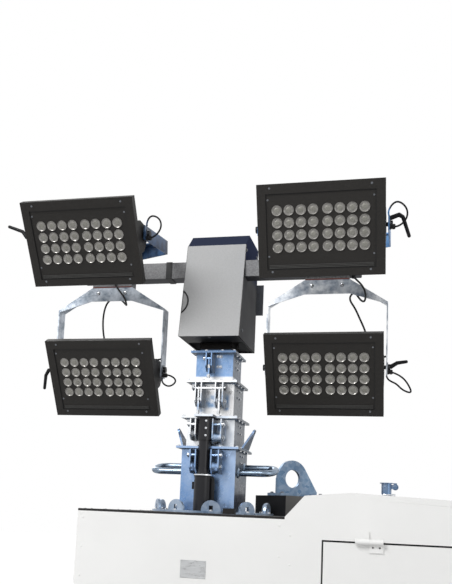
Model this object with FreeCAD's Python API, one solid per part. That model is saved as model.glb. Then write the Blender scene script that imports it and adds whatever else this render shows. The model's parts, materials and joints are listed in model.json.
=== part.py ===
import FreeCAD, Part
import math
import os

# A towed light tower on one axle: a lidded body, a telescopic mast on a
# turntable, and four lamps on a crossbar. Millimetres, +Z up, ground at Z 0.
# X runs along the trailer with the drawbar at -X, Y runs across it.
# "near" is the side at -Y that the lamps face, "far" is the side at +Y.

V = FreeCAD.Vector
X_DIR = V(1, 0, 0)
Y_DIR = V(0, 1, 0)
Z_DIR = V(0, 0, 1)
ORIGIN = V(0, 0, 0)
FULL_TURN = 360
HALF_TURN = 180

# Running clearances
FIT = 0.3
SLIDE_GAP = 0.5

# Body
BODY_LEFT = -540.0
BODY_RIGHT = 1480.0
BODY_HALF_WIDTH = 625.0
PAN_BOTTOM = 345.0
PAN_FLOOR = 6.0
PAN_RIM_HEIGHT = 115.0
PAN_RIM_WALL = 40.0
DECK_TOP = 1400.0
DECK_THICK = 8.0
PANEL = 25.0
ROOF_RISE = 73.0
SLOPE_FOOT = 205.0
SLOPE_TOP = 270.0
ROOF_PEAK = 424.0
ROOF_PEAK_RISE = 15.0
ROOF_TAIL_DROP = 45.0
ROOF_SHEET = 20.0

# Doors
DOOR_LEFT = 330.0
DOOR_RIGHT = 1260.0
DOOR_SILL = 690.0
DOOR_HEADER = 70.0
DOOR_HEAD = DECK_TOP - DOOR_HEADER
DOOR_THICK = 25.0
DOOR_GAP = 6.0
CONTROL_HALF_WIDTH = 260.0
CONTROL_SILL = 700.0
CONTROL_HEAD = 1250.0
HINGE_RADIUS = 9.0
HINGE_PIN_RADIUS = 5.0
HINGE_LEAF = 4.0
HINGE_LEAF_LENGTH = 34.0
HINGE_LENGTH = 45.0
HINGE_END_INSET = 110.0
GRILLE_SLATS = 8
GRILLE_RISE = 120.0
GRILLE_PITCH = 38.0
GRILLE_START = 80.0
GRILLE_END = 400.0
SLAT_HEIGHT = 16.0
SLAT_PROUD = 8.0
HANDLE_PROUD = 14.0
DOOR_GRIP_LEFT = 70.0
DOOR_GRIP_RIGHT = 20.0
DOOR_GRIP_RISE = 40.0
DOOR_GRIP_HEIGHT = 40.0
LATCH_INSET = 70.0
LATCH_WIDTH = 30.0
LATCH_HALF = 45.0

# Plant inside
ENGINE_LEFT = 420.0
ENGINE_RIGHT = 1180.0
ENGINE_HALF_WIDTH = 250.0
ENGINE_HEIGHT = 640.0
ENGINE_MIDDLE = 830.0
SKID_HEIGHT = 70.0
SKID_HALF_WIDTH = 270.0
GENERATOR_RADIUS = 200.0

# Black buffer on the deck in front of the turntable
BUFFER_X = -71.0
BUFFER_Y = -250.0
BUFFER_LENGTH = 48.0
BUFFER_WIDTH = 24.0
BUFFER_HEIGHT = 22.0

# Exhaust
EXHAUST_X = 528.0
EXHAUST_Y = -200.0
EXHAUST_RADIUS = 19.0
EXHAUST_WALL = 2.0
EXHAUST_TOP = 1540.0
EXHAUST_FLOOR = 20.0
CAP_THICK = 3.0
CAP_MARGIN = 6.0
CAP_HINGE_OUT = 33.0
CAP_LUG = 8.0
CAP_CLEAR = 2.0
CAP_PIN_DROP = 12.0
CAP_EAR_DROP = 20.0
CAP_PIN_RADIUS = 4.0

# Wheels and axle
AXLE_X = 480.0
AXLE_HEIGHT = 300.0
AXLE_RADIUS = 32.0
TYRE_RADIUS = 300.0
TYRE_WIDTH = 175.0
RIM_RADIUS = 178.0
RIM_BEAD = 186.0
WHEEL_GAP = 28.0
HUB_RADIUS = 62.0
HUB_BORE = 22.0
RIM_HOLES = 8
RIM_HOLE_CIRCLE = 134.0
RIM_HOLE_RADIUS = 13.0
FENDER_GAP = 55.0
FENDER_THICK = 5.0
FENDER_SPAN_DEG = 172.0

# radius and offset from the wheel's middle, corner by corner, out of the body at the end
RIM_DISH = [
    (HUB_BORE, -30.0), (HUB_RADIUS, -30.0), (HUB_RADIUS + 12.0, -8.0), (120.0, 4.0),
    (150.0, -12.0), (RIM_RADIUS - 5.0, -12.0), (RIM_RADIUS - 5.0, -4.0), (150.0, -4.0),
    (118.0, 12.0), (HUB_RADIUS, 4.0), (HUB_RADIUS, 44.0), (HUB_BORE, 44.0)]
RIM_FLANGE = 10.0
RIM_WALL = 6.0
RIM_SIDE_INSET = 22.0
HOLE_REACH = 80.0
TYRE_SHOULDER = 34.0
TYRE_TREAD_DROP = 12.0
TYRE_BEAD_INSET = 24.0
TYRE_WALL_LOW = 30.0
TYRE_WALL_HIGH = 62.0
TYRE_WALL_INSET = 4.0
STUB_SHARE = 0.6

# Suspension arms, fenders' outer lips and the channel for the rear lights
ARM_INSET = 95.0
ARM_HALF_WIDTH = 30.0
ARM_LOW = 250.0
ARM_REACH = 330.0
ARM_END = 40.0
FENDER_OUTER = 20.0
FENDER_LIP = 24.0
CHANNEL_DEPTH = 45.0
CHANNEL_HALF_LENGTH = 560.0
CHANNEL_WALL = 4.0
CHANNEL_DROP = 8.0

# Drawbar and towing eye
DRAWBAR_SIZE = 80.0
DRAWBAR_ROOT_GAP = 60.0
FORK_START = -1080.0
FORK_END = -420.0
FORK_SPREAD = 470.0
FORK_WIDTH = 90.0
EYE_SHANK_INSET = 8.0
EYE_SHANK_START = 40.0
EYE_BORE_RADIUS = 34.0
EYE_RING_RADIUS = 62.0
EYE_THICK = 32.0
EYE_SHANK = 90.0

# Jacks: a square outer tube, a square leg that slides in it and a foot
JACK_OUTER = 70.0
JACK_WALL = 5.0
JACK_TUBE_LOW = 300.0
JACK_TUBE_TOP = 820.0
JACK_LEG = 59.0
JACK_FOOT_RADIUS = 110.0
JACK_FOOT_THICK = 12.0
JACK_STROKE = 240.0
JACK_OUT = 60.0
DRAWBAR_JACK_X = -1180.0
CRANK_RADIUS = 9.0
CRANK_REACH = 120.0

JACK_BRACKET = 8.0
JACK_BRACKET_MARGIN = 20.0
JACK_HEAD_ROOM = 20.0
CRANK_RISE = 40.0
CRANK_GRIP = 4.0
CRANK_GRIP_LOW = 30.0
CRANK_GRIP_HIGH = 130.0

# The towing eye reaches as far forward as the rear jacks' feet reach back
EYE_X = EYE_RING_RADIUS - (BODY_RIGHT - JACK_OUT + JACK_FOOT_RADIUS)
DRAWBAR_TIP = EYE_X + EYE_SHANK

# Mast: width of each square section, wall, and height of its collar's top
MAST_X = -200.0
MAST_FOOT = 392.0
FOOT_PLATE = 12.0
FOOT_RADIUS = 196.0
SEAT_RADIUS = 150.0
SEAT_PIN_RADIUS = 40.0
SEAT_PIN_LENGTH = 40.0
# width, wall, collar top
SECTIONS = [
    (232.0, 6.0, 1673.0),
    (206.0, 4.5, 1801.0),
    (186.0, 5.0, 1955.0),
    (162.0, 5.0, 2084.0),
    (138.0, 5.0, 2330.0),
]
SECTION_REST_GAP = 10.0
COLLAR_THICK = 9.0
COLLAR_SIDE = 17.0
COLLAR_FRONT = 34.0
ROD_PLATE_MARGIN = 12.0
PAD_HEIGHT = 70.0
PAD_WIDTH = 60.0

# Lifting gear in front of the mast: hangers of two plates under each collar
HANGER_OUT = 64.0
HANGER_PLATE = 5.0
HANGER_DROP = 6.0
HANGER_CHAMFER = 22.0
HANGER_PIN_DROP = 24.0
HANGER_PIN_RADIUS = 6.0
HANGER_PIN_INSET = 9.0
HANGER_PIN_PROUD = 9.0
HANGER_PIN_FLUSH = 1.0
SHEAVE_RISE = 28.0
SHEAVE_OUT = 30.0
SHEAVE_PIN_RADIUS = 6.0
SHEAVE_GROOVE = 5.0
TIE_ROD_RADIUS = 5.0
TIE_ROD_GAP = 6.0
# section whose two hangers share one long pin, and the pin's ends in X from the mast
LONG_PIN = (2, -72.0, 70.0)
# section, X of the middle from the mast, gap between plates, length, sheave radius, tie rod
HANGERS = [
    (0, -51.0, 18.0, 98.0, 26.0, False),
    (0, 42.0, 26.0, 98.0, 26.0, False),
    (1, -60.0, 16.0, 88.0, 20.0, False),
    (1, 42.0, 30.0, 104.0, 24.0, False),
    (2, -47.0, 20.0, 100.0, 22.0, True),
    (2, 42.0, 26.0, 104.0, 22.0, True),
    (3, -11.0, 18.0, 78.0, 0.0, True),
]

# Ears that lean out from the lowest collar
EAR_THICK = 8.0
EAR_FOOT_HALF = 60.0
EAR_HEIGHT = 95.0
EAR_CROWN_RADIUS = 18.0
EAR_LEAN_DEG = 26.0
EAR_SLOT_RADIUS = 6.0
EAR_SLOT_LENGTH = 26.0
EAR_ROOT = 7.0

# Cylinder in front of the mast
BARREL_RADIUS = 35.0
BARREL_TOP = 1555.0
BARREL_LIP = 3.0
BARREL_LIP_HEIGHT = 8.0
ROD_RADIUS = 23.0
ROD_HEAD_RADIUS = 28.0
ROD_HEAD_LENGTH = 96.0
CYLINDER_OUT = 42.0
CYLINDER_SHIFT = -9.0
ROD_HOLE_GAP = 5.5
CLAMP_HALF_WIDTH = 45.0
CLAMP_HEIGHT = 30.0
CLAMP_LOW = 700.0
CLAMP_TOP_DROP = 60.0
BARREL_FLOOR = 20.0
ROD_FOOT_GAP = 30.0

# Turntable on the deck
DECK_HOLE_RADIUS = 214.0
RING_INNER = 206.0
RING_OUTER = 258.0
RING_THICK = 8.0
TAB_RADIUS = 240.0
TAB_COUNT = 10
TAB_FIRST_DEG = 12.0
TAB_WIDTH = 78.0
TAB_HEIGHT = 45.0
TAB_THICK = 10.0
TAB_SLOT_WIDTH = 16.0
TAB_SLOT_HEIGHT = 22.0
TAB_CROWN_RISE = 4.0

# Handles that turn the mast
HANDLE_BELOW_COLLAR = 88.0
HANDLE_HEIGHT = SECTIONS[0][2] - HANDLE_BELOW_COLLAR
HANDLE_TUBE = 13.5
HANDLE_REACH = 160.0
HANDLE_HALF_SPAN = 58.0
HANDLE_LEAN = 14.0
HANDLE_BEND = 45.0

# Lifting housing, set diagonally beside the turntable, and its eye plate
LIFT_CORNER_X = 102.0
LIFT_CORNER_Y = 68.0
LIFT_WIDTH = 230.0
LIFT_LENGTH = 262.0
LIFT_TURN_DEG = 45.0
LIFT_TOP = 1488.0
EYE_PLATE_THICK = 14.0
EYE_PLATE_START = 20.0
EYE_PLATE_LENGTH = 222.0
EYE_PLATE_IN = 100.0
EYE_PLATE_LIP = 12.0
EYE_FOOT_THICK = 12.0
EYE_FOOT_HALF = 50.0
EYE_FOOT_OVERHANG = 12.0
LIFT_HOLE_RADIUS = 40.0
LIFT_HOLE_IN = 84.0
LIFT_HOLE_RISE = 66.0
EYE_CROWN = 82.0
EYE_SLANT_DEG = 35.0
LIFT_SHEET = 6.0

# Head: cover, crossbar and lamps
HEAD_HALF_WIDTH = 128.0
HEAD_SHEET = 3.0
HEAD_LOW = 2124.0
HEAD_TOP = 2604.0
HEAD_BEVEL_LOW = 2541.0
HEAD_FRONT_LOW = -211.0
HEAD_FRONT_HIGH = -135.0
HEAD_TOP_FRONT = -68.0
HEAD_BACK = 135.0
NOTCH_HALF_HEIGHT = 50.0
NOTCH_DEPTH = 25.0
NOTCH_RISE = 156.0
BAR_HALF_LENGTH = 612.0
BAR_SIZE = 70.0
BAR_WALL = 5.0
BAR_CENTRE_Y = -110.0
BAR_CENTRE_Z = 2431.0
MAST_CAP = 12.0
NECK_HALF = 60.0
BRACKET_HALF = 60.0
BRACKET_THICK = 8.0
BRACKET_DEPTH = 82.0
BRACKET_FRONT_INSET = 5.0
BRACKET_BACK = -16.0
BRACKET_RIB_X = 44.0
# Y and height above the foot plate, corner by corner
BRACKET_RIB = [(-100.0, 0.0), (-25.0, 0.0), (-31.0, 38.0), (-40.0, 38.0)]
SPACER_INSET = 3.0

# Lamps
LENS_COLUMNS = 8
LENS_ROWS = 4
LENS_PITCH = 45.0
LENS_CENTRE_GAP = 8.0
LENS_RADIUS = 19.4
LENS_PROUD = 3.0
LAMP_HALF_WIDTH = 236.0
LAMP_UP = 164.0
LAMP_DOWN = 178.0
LAMP_FRAME_DEPTH = 32.0
LAMP_BORDER_SIDE = 33.0
LAMP_BORDER_TOP = 36.0
LAMP_BORDER_FOOT = 28.0
LAMP_WALL = 7.0
LAMP_PLATE = 8.0
LENS_BEHIND_FRONT = 4.0
RIB_COUNT = 3
RIB_LOW = -143.0
RIB_PITCH = 5.0
RIB_WIDTH = 2.5
RIB_HALF_LENGTH = 196.0
RIB_PROUD = 2.0
SINK_DEPTH = 54.0
SINK_INSET = 22.0
SINK_BASE = 6.0
FIN_COUNT = 15
FIN_THICK = 5.0
HINGE_BEHIND_LENS = 90.0
LUG_FRONT_HALF = 62.0
LUG_BACK_HALF = 28.0
LUG_BACK = 18.0
LUG_STRAIGHT = 50.0
LUG_THICK = 10.0
PIVOT_PIN_RADIUS = 8.0
PIVOT_PIN_PROUD = 5.0
PIVOT_CAP_RADIUS = 13.0
PIVOT_CAP_OUT = 12.0
PIVOT_CAP_FLOOR = 3.0
YOKE_STRAP = 5.0
YOKE_WIDTH = 58.0
YOKE_HALF_INNER = 243.0
YOKE_REACH = 364.0
YOKE_CORNER_REACH = 265.0
YOKE_BASE_HALF = 94.0
YOKE_FLANGE = 60.0
YOKE_FLANGE_END = 9.0
YOKE_BELOW_HINGE = 34.0
YOKE_INSIDE_TRIM = 2.0

# Clamp lever and cable loop on each yoke
LEVER_ROOT_RADIUS = 9.0
LEVER_TIP_RADIUS = 6.5
GLAND_RADIUS = 8.0
GLAND_LENGTH = 24.0
LOOP_RADIUS = 3.5
HEAD_CABLE_RADIUS = 4.0

# name, X from the mast, hinge Y, hinge Z, down-tilt and yoke's lean back in degrees
LAMPS = [
    ("upper_left", -469.0, -399.0, 2501.0, 32.6, 82.0),
    ("upper_right", 483.0, -399.0, 2497.0, 21.8, 82.0),
    ("lower_left", -471.0, -99.0, 2003.0, 30.4, 0.0),
    ("lower_right", 475.0, -99.0, 2012.0, 27.0, 0.0),
]
# From each lamp's hinge in the lamp's own axes: the clamp lever, joint by joint
LEVERS = {
    "upper_left": [(-258, 0, 0), (-286, 6, 8), (-306, 18, 30), (-368, 30, 50)],
    "upper_right": [(247, 8, 21), (282, 13, 33), (296, 10, 24), (319, -18, -45)],
    "lower_left": [(-258, 0, 0), (-290, 0, 0), (-302, -12, -20), (-304, -41, -70)],
    "lower_right": [(258, 0, 0), (286, 8, 16), (322, 12, 20)],
}
# From each lamp's hinge in the lamp's own axes: the loop of cable out of its gland
CABLE_LOOPS = {
    "upper_left": [(262, -20, -12), (291, -12, 1), (306, 9, 32), (287, 27, 60), (262, 29, 64),
                   (248, 24, 50), (245.5, 12, 30)],
    "upper_right": [(262, -20, -9), (288, -12, -3), (311, 0, 27), (303, 15, 63), (272, 23, 80),
                    (250, 20, 62), (245.5, 7, 31)],
    "lower_left": [(262, -22, -17), (285, -23, -19), (308, -34, -38), (284, -44, -57),
                   (256, -38, -50), (245.5, -13, -33)],
    "lower_right": [(262, -19, -14), (290, -24, -24), (334, -46, -66), (340, -54, -86),
                    (312, -50, -80), (283, -38, -58), (256, -26, -46), (245.5, -11, -33)],
}
# From the mast at X: cables from the crossbar to the lower lamps, clipped to their yokes
HEAD_CABLES = [
    [(-459, -137, 2391), (-450, -139, 2374), (-428, -140, 2345), (-404, -140, 2312),
     (-402, -121, 2291), (-420, -98, 2304), (-460, -84, 2330), (-500, -79, 2322),
     (-524, -72, 2280), (-530, -64, 2212), (-518, -56, 2138), (-480, -52, 2076),
     (-380, -53, 2048), (-280, -64, 2052), (-230, -78, 2058)],
    [(582, -112, 2391), (594, -126, 2374), (618, -140, 2344), (633, -140, 2306),
     (628, -120, 2284), (606, -98, 2302), (580, -84, 2328), (568, -78, 2316),
     (582, -72, 2276), (606, -66, 2228), (634, -60, 2160), (652, -56, 2100),
     (680, -62, 2068), (716, -76, 2062)],
]
STRAP_X = -206.0
STRAP_WIDTH = 26.0
STRAP_THICK = 2.5


def box(x0, x1, y0, y1, z0, z1):
    return Part.makeBox(x1 - x0, y1 - y0, z1 - z0, V(x0, y0, z0))


def rod(radius, start, end):
    return Part.makeCylinder(radius, (end - start).Length, start, end - start)


def fused(shapes):
    return shapes[0].multiFuse(shapes[1:]).removeSplitter()


def prism(points, offset):
    wire = Part.makePolygon(points + [points[0]])
    return Part.Face(wire).extrude(offset)


def square_tube(width, wall, z0, z1):
    half = width / 2
    outer = box(MAST_X - half, MAST_X + half, -half, half, z0, z1)
    inner = half - wall
    return outer.cut(box(MAST_X - inner, MAST_X + inner, -inner, inner, z0, z1))


def mirrored(shape):
    return shape.mirror(ORIGIN, Y_DIR)


def bent_tube(points, bend, radius):
    """A round tube along straight runs joined by tangent arcs."""
    edges = []
    start = points[0]
    for before, corner, after in zip(points, points[1:], points[2:]):
        along = (corner - before).normalize()
        onward = (after - corner).normalize()
        turn = along.getAngle(onward)
        trim = bend * math.tan(turn / 2)
        arc_start = corner - along * trim
        arc_end = corner + onward * trim
        inward = (onward - along).normalize()
        centre = corner + inward * (bend / math.cos(turn / 2))
        middle = centre - inward * bend
        edges.append(Part.LineSegment(start, arc_start).toShape())
        edges.append(Part.Arc(arc_start, middle, arc_end).toShape())
        start = arc_end
    edges.append(Part.LineSegment(start, points[-1]).toShape())
    path = Part.Wire(edges)
    circle = Part.makeCircle(radius, points[0], points[1] - points[0])
    return path.makePipeShell([Part.Wire([circle])], True, True)


# Chassis

def chassis_pan():
    top = PAN_BOTTOM + PAN_RIM_HEIGHT
    outer = box(BODY_LEFT, BODY_RIGHT, -BODY_HALF_WIDTH, BODY_HALF_WIDTH, PAN_BOTTOM, top)
    inset = PAN_RIM_WALL
    hollow = box(BODY_LEFT + inset, BODY_RIGHT - inset,
                 -BODY_HALF_WIDTH + inset, BODY_HALF_WIDTH - inset, PAN_BOTTOM + PAN_FLOOR, top)
    long = CHANNEL_HALF_LENGTH
    wall = CHANNEL_WALL
    high = top - CHANNEL_DROP
    channel = box(BODY_RIGHT, BODY_RIGHT + CHANNEL_DEPTH, -long, long, PAN_BOTTOM, high)
    inside = box(BODY_RIGHT + wall, BODY_RIGHT + CHANNEL_DEPTH - wall, wall - long, long - wall,
                 PAN_BOTTOM, high - wall)
    return fused([outer, channel]).cut([hollow, inside])


def drawbar():
    """Beam under the body with a forked brace to the pan on each side."""
    half = DRAWBAR_SIZE / 2
    low = PAN_BOTTOM - DRAWBAR_SIZE
    pieces = [box(DRAWBAR_TIP, AXLE_X - AXLE_RADIUS - DRAWBAR_ROOT_GAP, -half, half, low, PAN_BOTTOM)]
    for sign in (-1, 1):
        near, far = sign * half, sign * FORK_SPREAD
        outline = [V(FORK_START, near, low), V(FORK_START + FORK_WIDTH, near, low),
                   V(FORK_END, far - sign * FORK_WIDTH, low), V(FORK_END, far, low)]
        pieces.append(prism(outline, V(0, 0, DRAWBAR_SIZE)))
    return fused(pieces)


def tow_eye():
    centre = V(EYE_X, 0, PAN_BOTTOM - DRAWBAR_SIZE / 2 - EYE_THICK / 2)
    ring = Part.makeCylinder(EYE_RING_RADIUS, EYE_THICK, centre)
    half = DRAWBAR_SIZE / 2 - EYE_SHANK_INSET
    shank = box(EYE_X + EYE_SHANK_START, DRAWBAR_TIP, -half, half, centre.z, centre.z + EYE_THICK)
    eye = ring.fuse(shank)
    return eye.cut(Part.makeCylinder(EYE_BORE_RADIUS, EYE_THICK, centre)).removeSplitter()


def axle():
    """Beam with a stub for each wheel and two arms that carry the pan."""
    hub_y = BODY_HALF_WIDTH + WHEEL_GAP
    beam = rod(AXLE_RADIUS, V(AXLE_X, -hub_y, AXLE_HEIGHT), V(AXLE_X, hub_y, AXLE_HEIGHT))
    pieces = [beam]
    for sign in (-1, 1):
        inner = V(AXLE_X, sign * hub_y, AXLE_HEIGHT)
        outer = V(AXLE_X, sign * (hub_y + TYRE_WIDTH * STUB_SHARE), AXLE_HEIGHT)
        pieces.append(rod(HUB_BORE - FIT, inner, outer))
        y = sign * (BODY_HALF_WIDTH - ARM_INSET) - ARM_HALF_WIDTH
        outline = [V(AXLE_X - ARM_END, y, ARM_LOW), V(AXLE_X + ARM_END, y, ARM_LOW),
                   V(AXLE_X + ARM_REACH, y, PAN_BOTTOM - ARM_END),
                   V(AXLE_X + ARM_REACH, y, PAN_BOTTOM), V(AXLE_X - ARM_END, y, PAN_BOTTOM)]
        pieces.append(prism(outline, V(0, 2 * ARM_HALF_WIDTH, 0)))
    return fused(pieces)


def wheel_profile(points):
    """Turns points of radius and offset about the wheel's own axis along Y."""
    outline = [V(radius, offset, 0) for radius, offset in points]
    face = Part.Face(Part.makePolygon(outline + [outline[0]]))
    return face.revolve(ORIGIN, Y_DIR, FULL_TURN)


def wheel_rim():
    half = TYRE_WIDTH / 2 - RIM_SIDE_INSET
    flange = RIM_BEAD + RIM_FLANGE
    wall = RIM_WALL
    barrel = wheel_profile([
        (RIM_RADIUS - wall, -half), (flange, -half - wall), (flange, -half),
        (RIM_RADIUS, wall - half), (RIM_RADIUS, half - wall), (flange, half),
        (flange, half + wall), (RIM_RADIUS - wall, half)])
    holes = []
    for index in range(RIM_HOLES):
        angle = 2 * math.pi * index / RIM_HOLES
        place = V(RIM_HOLE_CIRCLE * math.cos(angle), -HOLE_REACH / 2,
                  RIM_HOLE_CIRCLE * math.sin(angle))
        holes.append(Part.makeCylinder(RIM_HOLE_RADIUS, HOLE_REACH, place, Y_DIR))
    return fused([barrel, wheel_profile(RIM_DISH)]).cut(holes)


def wheel_tyre():
    half = TYRE_WIDTH / 2
    bead = RIM_BEAD + RIM_FLANGE + 1
    side = TYRE_RADIUS - TYRE_TREAD_DROP
    outer_half = [
        (bead, TYRE_BEAD_INSET - half), (bead + TYRE_WALL_LOW, TYRE_WALL_INSET - half),
        (bead + TYRE_WALL_HIGH, -half), (side, TYRE_TREAD_DROP - half),
        (TYRE_RADIUS, TYRE_SHOULDER - half)]
    seat = (RIM_RADIUS + FIT, half - TYRE_SHOULDER)
    other_half = [(radius, -offset) for radius, offset in reversed(outer_half)]
    return wheel_profile(outer_half + other_half + [seat, (seat[0], -seat[1])])


def at_wheel(shape, sign):
    centre_y = sign * (BODY_HALF_WIDTH + WHEEL_GAP + TYRE_WIDTH / 2)
    placed = shape.copy() if sign < 0 else mirrored(shape)
    placed.translate(V(AXLE_X, centre_y, AXLE_HEIGHT))
    return placed


def fender(sign):
    """Arched sheet over the wheel with a lip along its outer edge."""
    outer = TYRE_RADIUS + FENDER_GAP
    near_y = sign * BODY_HALF_WIDTH
    far_y = sign * (BODY_HALF_WIDTH + WHEEL_GAP + TYRE_WIDTH + FENDER_OUTER)
    start = (HALF_TURN - FENDER_SPAN_DEG) / 2
    y_low = min(near_y, far_y)
    width = abs(far_y - near_y)
    corner = V(AXLE_X, y_low, AXLE_HEIGHT)
    arc = Part.makeCylinder(outer, width, corner, Y_DIR)
    arc = arc.cut(Part.makeCylinder(outer - FENDER_THICK, width, corner, Y_DIR))
    lip_y = min(far_y, far_y - sign * FENDER_THICK)
    lip_corner = V(AXLE_X, lip_y, AXLE_HEIGHT)
    lip = Part.makeCylinder(outer, FENDER_THICK, lip_corner, Y_DIR)
    lip = lip.cut(Part.makeCylinder(outer - FENDER_LIP, FENDER_THICK, lip_corner, Y_DIR))
    cut_height = outer * math.sin(math.radians(start))
    keep = box(AXLE_X - outer, AXLE_X + outer, y_low, y_low + width,
               AXLE_HEIGHT + cut_height, AXLE_HEIGHT + outer)
    return fused([arc, lip]).common(keep)


# Jacks, as X, Y of the tube's centre

def jack_places():
    x_left = BODY_LEFT + JACK_OUT
    x_right = BODY_RIGHT - JACK_OUT
    y_out = BODY_HALF_WIDTH + JACK_OUTER / 2 + JACK_BRACKET
    return [
        ("front_near", x_left, -y_out),
        ("front_far", x_left, y_out),
        ("rear_near", x_right, -y_out),
        ("rear_far", x_right, y_out),
        ("drawbar", DRAWBAR_JACK_X, DRAWBAR_SIZE / 2 + JACK_OUTER / 2 + JACK_BRACKET),
    ]


def jack_tube(x, y, toward):
    half = JACK_OUTER / 2
    hollow = half - JACK_WALL
    tube = box(x - half, x + half, y - half, y + half, JACK_TUBE_LOW, JACK_TUBE_TOP)
    tube = tube.cut(box(x - hollow, x + hollow, y - hollow, y + hollow,
                        JACK_TUBE_LOW, JACK_TUBE_TOP - JACK_WALL))
    y0, y1 = sorted((y + toward * half, y + toward * (half + JACK_BRACKET)))
    low = PAN_BOTTOM if abs(y) > BODY_HALF_WIDTH else PAN_BOTTOM - DRAWBAR_SIZE
    side = half + JACK_BRACKET_MARGIN
    bracket = box(x - side, x + side, y0, y1, low, low + DRAWBAR_SIZE)
    top = V(x, y, JACK_TUBE_TOP)
    turn = top + V(0, 0, CRANK_RISE)
    stem = rod(CRANK_RADIUS, top, turn)
    arm = rod(CRANK_RADIUS, turn, turn - V(CRANK_REACH, 0, 0))
    grip = rod(CRANK_RADIUS + CRANK_GRIP, top + V(-CRANK_REACH, 0, CRANK_GRIP_LOW),
               top + V(-CRANK_REACH, 0, CRANK_GRIP_HIGH))
    return fused([tube, bracket, stem, arm, grip])


def jack_leg(x, y):
    half = JACK_LEG / 2
    high = JACK_TUBE_TOP - JACK_WALL - JACK_STROKE - JACK_HEAD_ROOM
    leg = box(x - half, x + half, y - half, y + half, JACK_FOOT_THICK, high)
    foot = Part.makeCylinder(JACK_FOOT_RADIUS, JACK_FOOT_THICK, V(x, y, 0))
    return fused([leg, foot])


# Body panels

def roof_height(x):
    top = DECK_TOP + ROOF_RISE
    if x <= ROOF_PEAK:
        return top + ROOF_PEAK_RISE * (x - SLOPE_TOP) / (ROOF_PEAK - SLOPE_TOP)
    fall = ROOF_TAIL_DROP * (x - ROOF_PEAK) / (BODY_RIGHT - ROOF_PEAK)
    return top + ROOF_PEAK_RISE - fall


def side_outline(y, low, sheet):
    """Side view of the raised rear body, its top below the roof's sheet."""
    return [
        V(SLOPE_FOOT, y, low), V(BODY_RIGHT - PANEL, y, low),
        V(BODY_RIGHT - PANEL, y, roof_height(BODY_RIGHT) - sheet),
        V(ROOF_PEAK, y, roof_height(ROOF_PEAK) - sheet),
        V(SLOPE_TOP, y, roof_height(SLOPE_TOP) - sheet),
        V(SLOPE_FOOT, y, DECK_TOP - sheet)]


def side_hinge_places():
    return [DOOR_LEFT + HINGE_END_INSET, DOOR_RIGHT - HINGE_END_INSET - 2 * HINGE_LENGTH]


def hinge_half(start, along, leaf_way, face_way):
    """One knuckle on a hinge line, with its leaf flat on the panel's face.

    start is on the line, along its direction, leaf_way points over the
    panel and face_way out of it.
    """
    end = start + along * HINGE_LENGTH
    knuckle = rod(HINGE_RADIUS, start, end)
    inner = start - face_way * HINGE_RADIUS
    corner = inner + leaf_way * HINGE_LEAF_LENGTH
    leaf = prism([inner, corner, corner + face_way * HINGE_LEAF, inner + face_way * HINGE_LEAF],
                 along * HINGE_LENGTH)
    return knuckle.fuse(leaf)


def canopy_side():
    low = PAN_BOTTOM + PAN_RIM_HEIGHT
    wall = prism(side_outline(-BODY_HALF_WIDTH, low, ROOF_SHEET), V(0, PANEL, 0))
    opening = box(DOOR_LEFT, DOOR_RIGHT, -BODY_HALF_WIDTH, -BODY_HALF_WIDTH + PANEL,
                  DOOR_SILL, DOOR_HEAD)
    pieces = [wall.cut(opening)]
    bores = []
    for x in side_hinge_places():
        start = V(x, -BODY_HALF_WIDTH - HINGE_RADIUS, DOOR_HEAD)
        pieces.append(hinge_half(start, X_DIR, Z_DIR, -Y_DIR))
        bores.append(rod(HINGE_PIN_RADIUS + FIT, start, start + X_DIR * HINGE_LENGTH))
    return fused(pieces).cut(bores)


def canopy_roof():
    sheet = [
        (SLOPE_FOOT, DECK_TOP), (SLOPE_TOP, roof_height(SLOPE_TOP)),
        (ROOF_PEAK, roof_height(ROOF_PEAK)), (BODY_RIGHT, roof_height(BODY_RIGHT))]
    upper = [V(x, -BODY_HALF_WIDTH, z) for x, z in sheet]
    lower = [V(x, -BODY_HALF_WIDTH, z - ROOF_SHEET) for x, z in reversed(sheet)]
    roof = prism(upper + lower, V(0, 2 * BODY_HALF_WIDTH, 0))
    stack = V(EXHAUST_X, EXHAUST_Y, DECK_TOP)
    return roof.cut(Part.makeCylinder(EXHAUST_RADIUS + FIT, 2 * ROOF_RISE, stack))


def canopy_rear():
    low = PAN_BOTTOM + PAN_RIM_HEIGHT
    return box(BODY_RIGHT - PANEL, BODY_RIGHT, -BODY_HALF_WIDTH, BODY_HALF_WIDTH,
               low, roof_height(BODY_RIGHT) - ROOF_SHEET)


def control_hinge_places():
    return [CONTROL_SILL + HINGE_END_INSET / 2, CONTROL_HEAD - HINGE_END_INSET / 2 - 2 * HINGE_LENGTH]


def front_cabinet():
    """Walls round the mast: two sides, a front wall with the control opening."""
    low = PAN_BOTTOM + PAN_RIM_HEIGHT
    high = DECK_TOP - DECK_THICK
    outer = box(BODY_LEFT, SLOPE_FOOT, -BODY_HALF_WIDTH, BODY_HALF_WIDTH, low, high)
    hollow = box(BODY_LEFT + PANEL, SLOPE_FOOT, -BODY_HALF_WIDTH + PANEL,
                 BODY_HALF_WIDTH - PANEL, low, high)
    opening = box(BODY_LEFT, BODY_LEFT + PANEL, -CONTROL_HALF_WIDTH, CONTROL_HALF_WIDTH,
                  CONTROL_SILL, CONTROL_HEAD)
    pieces = [outer.cut(hollow).cut(opening)]
    bores = []
    for z in control_hinge_places():
        start = V(BODY_LEFT - HINGE_RADIUS, -CONTROL_HALF_WIDTH, z)
        pieces.append(hinge_half(start, Z_DIR, -Y_DIR, -X_DIR))
        bores.append(rod(HINGE_PIN_RADIUS + FIT, start, start + Z_DIR * HINGE_LENGTH))
    return fused(pieces).cut(bores)


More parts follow.
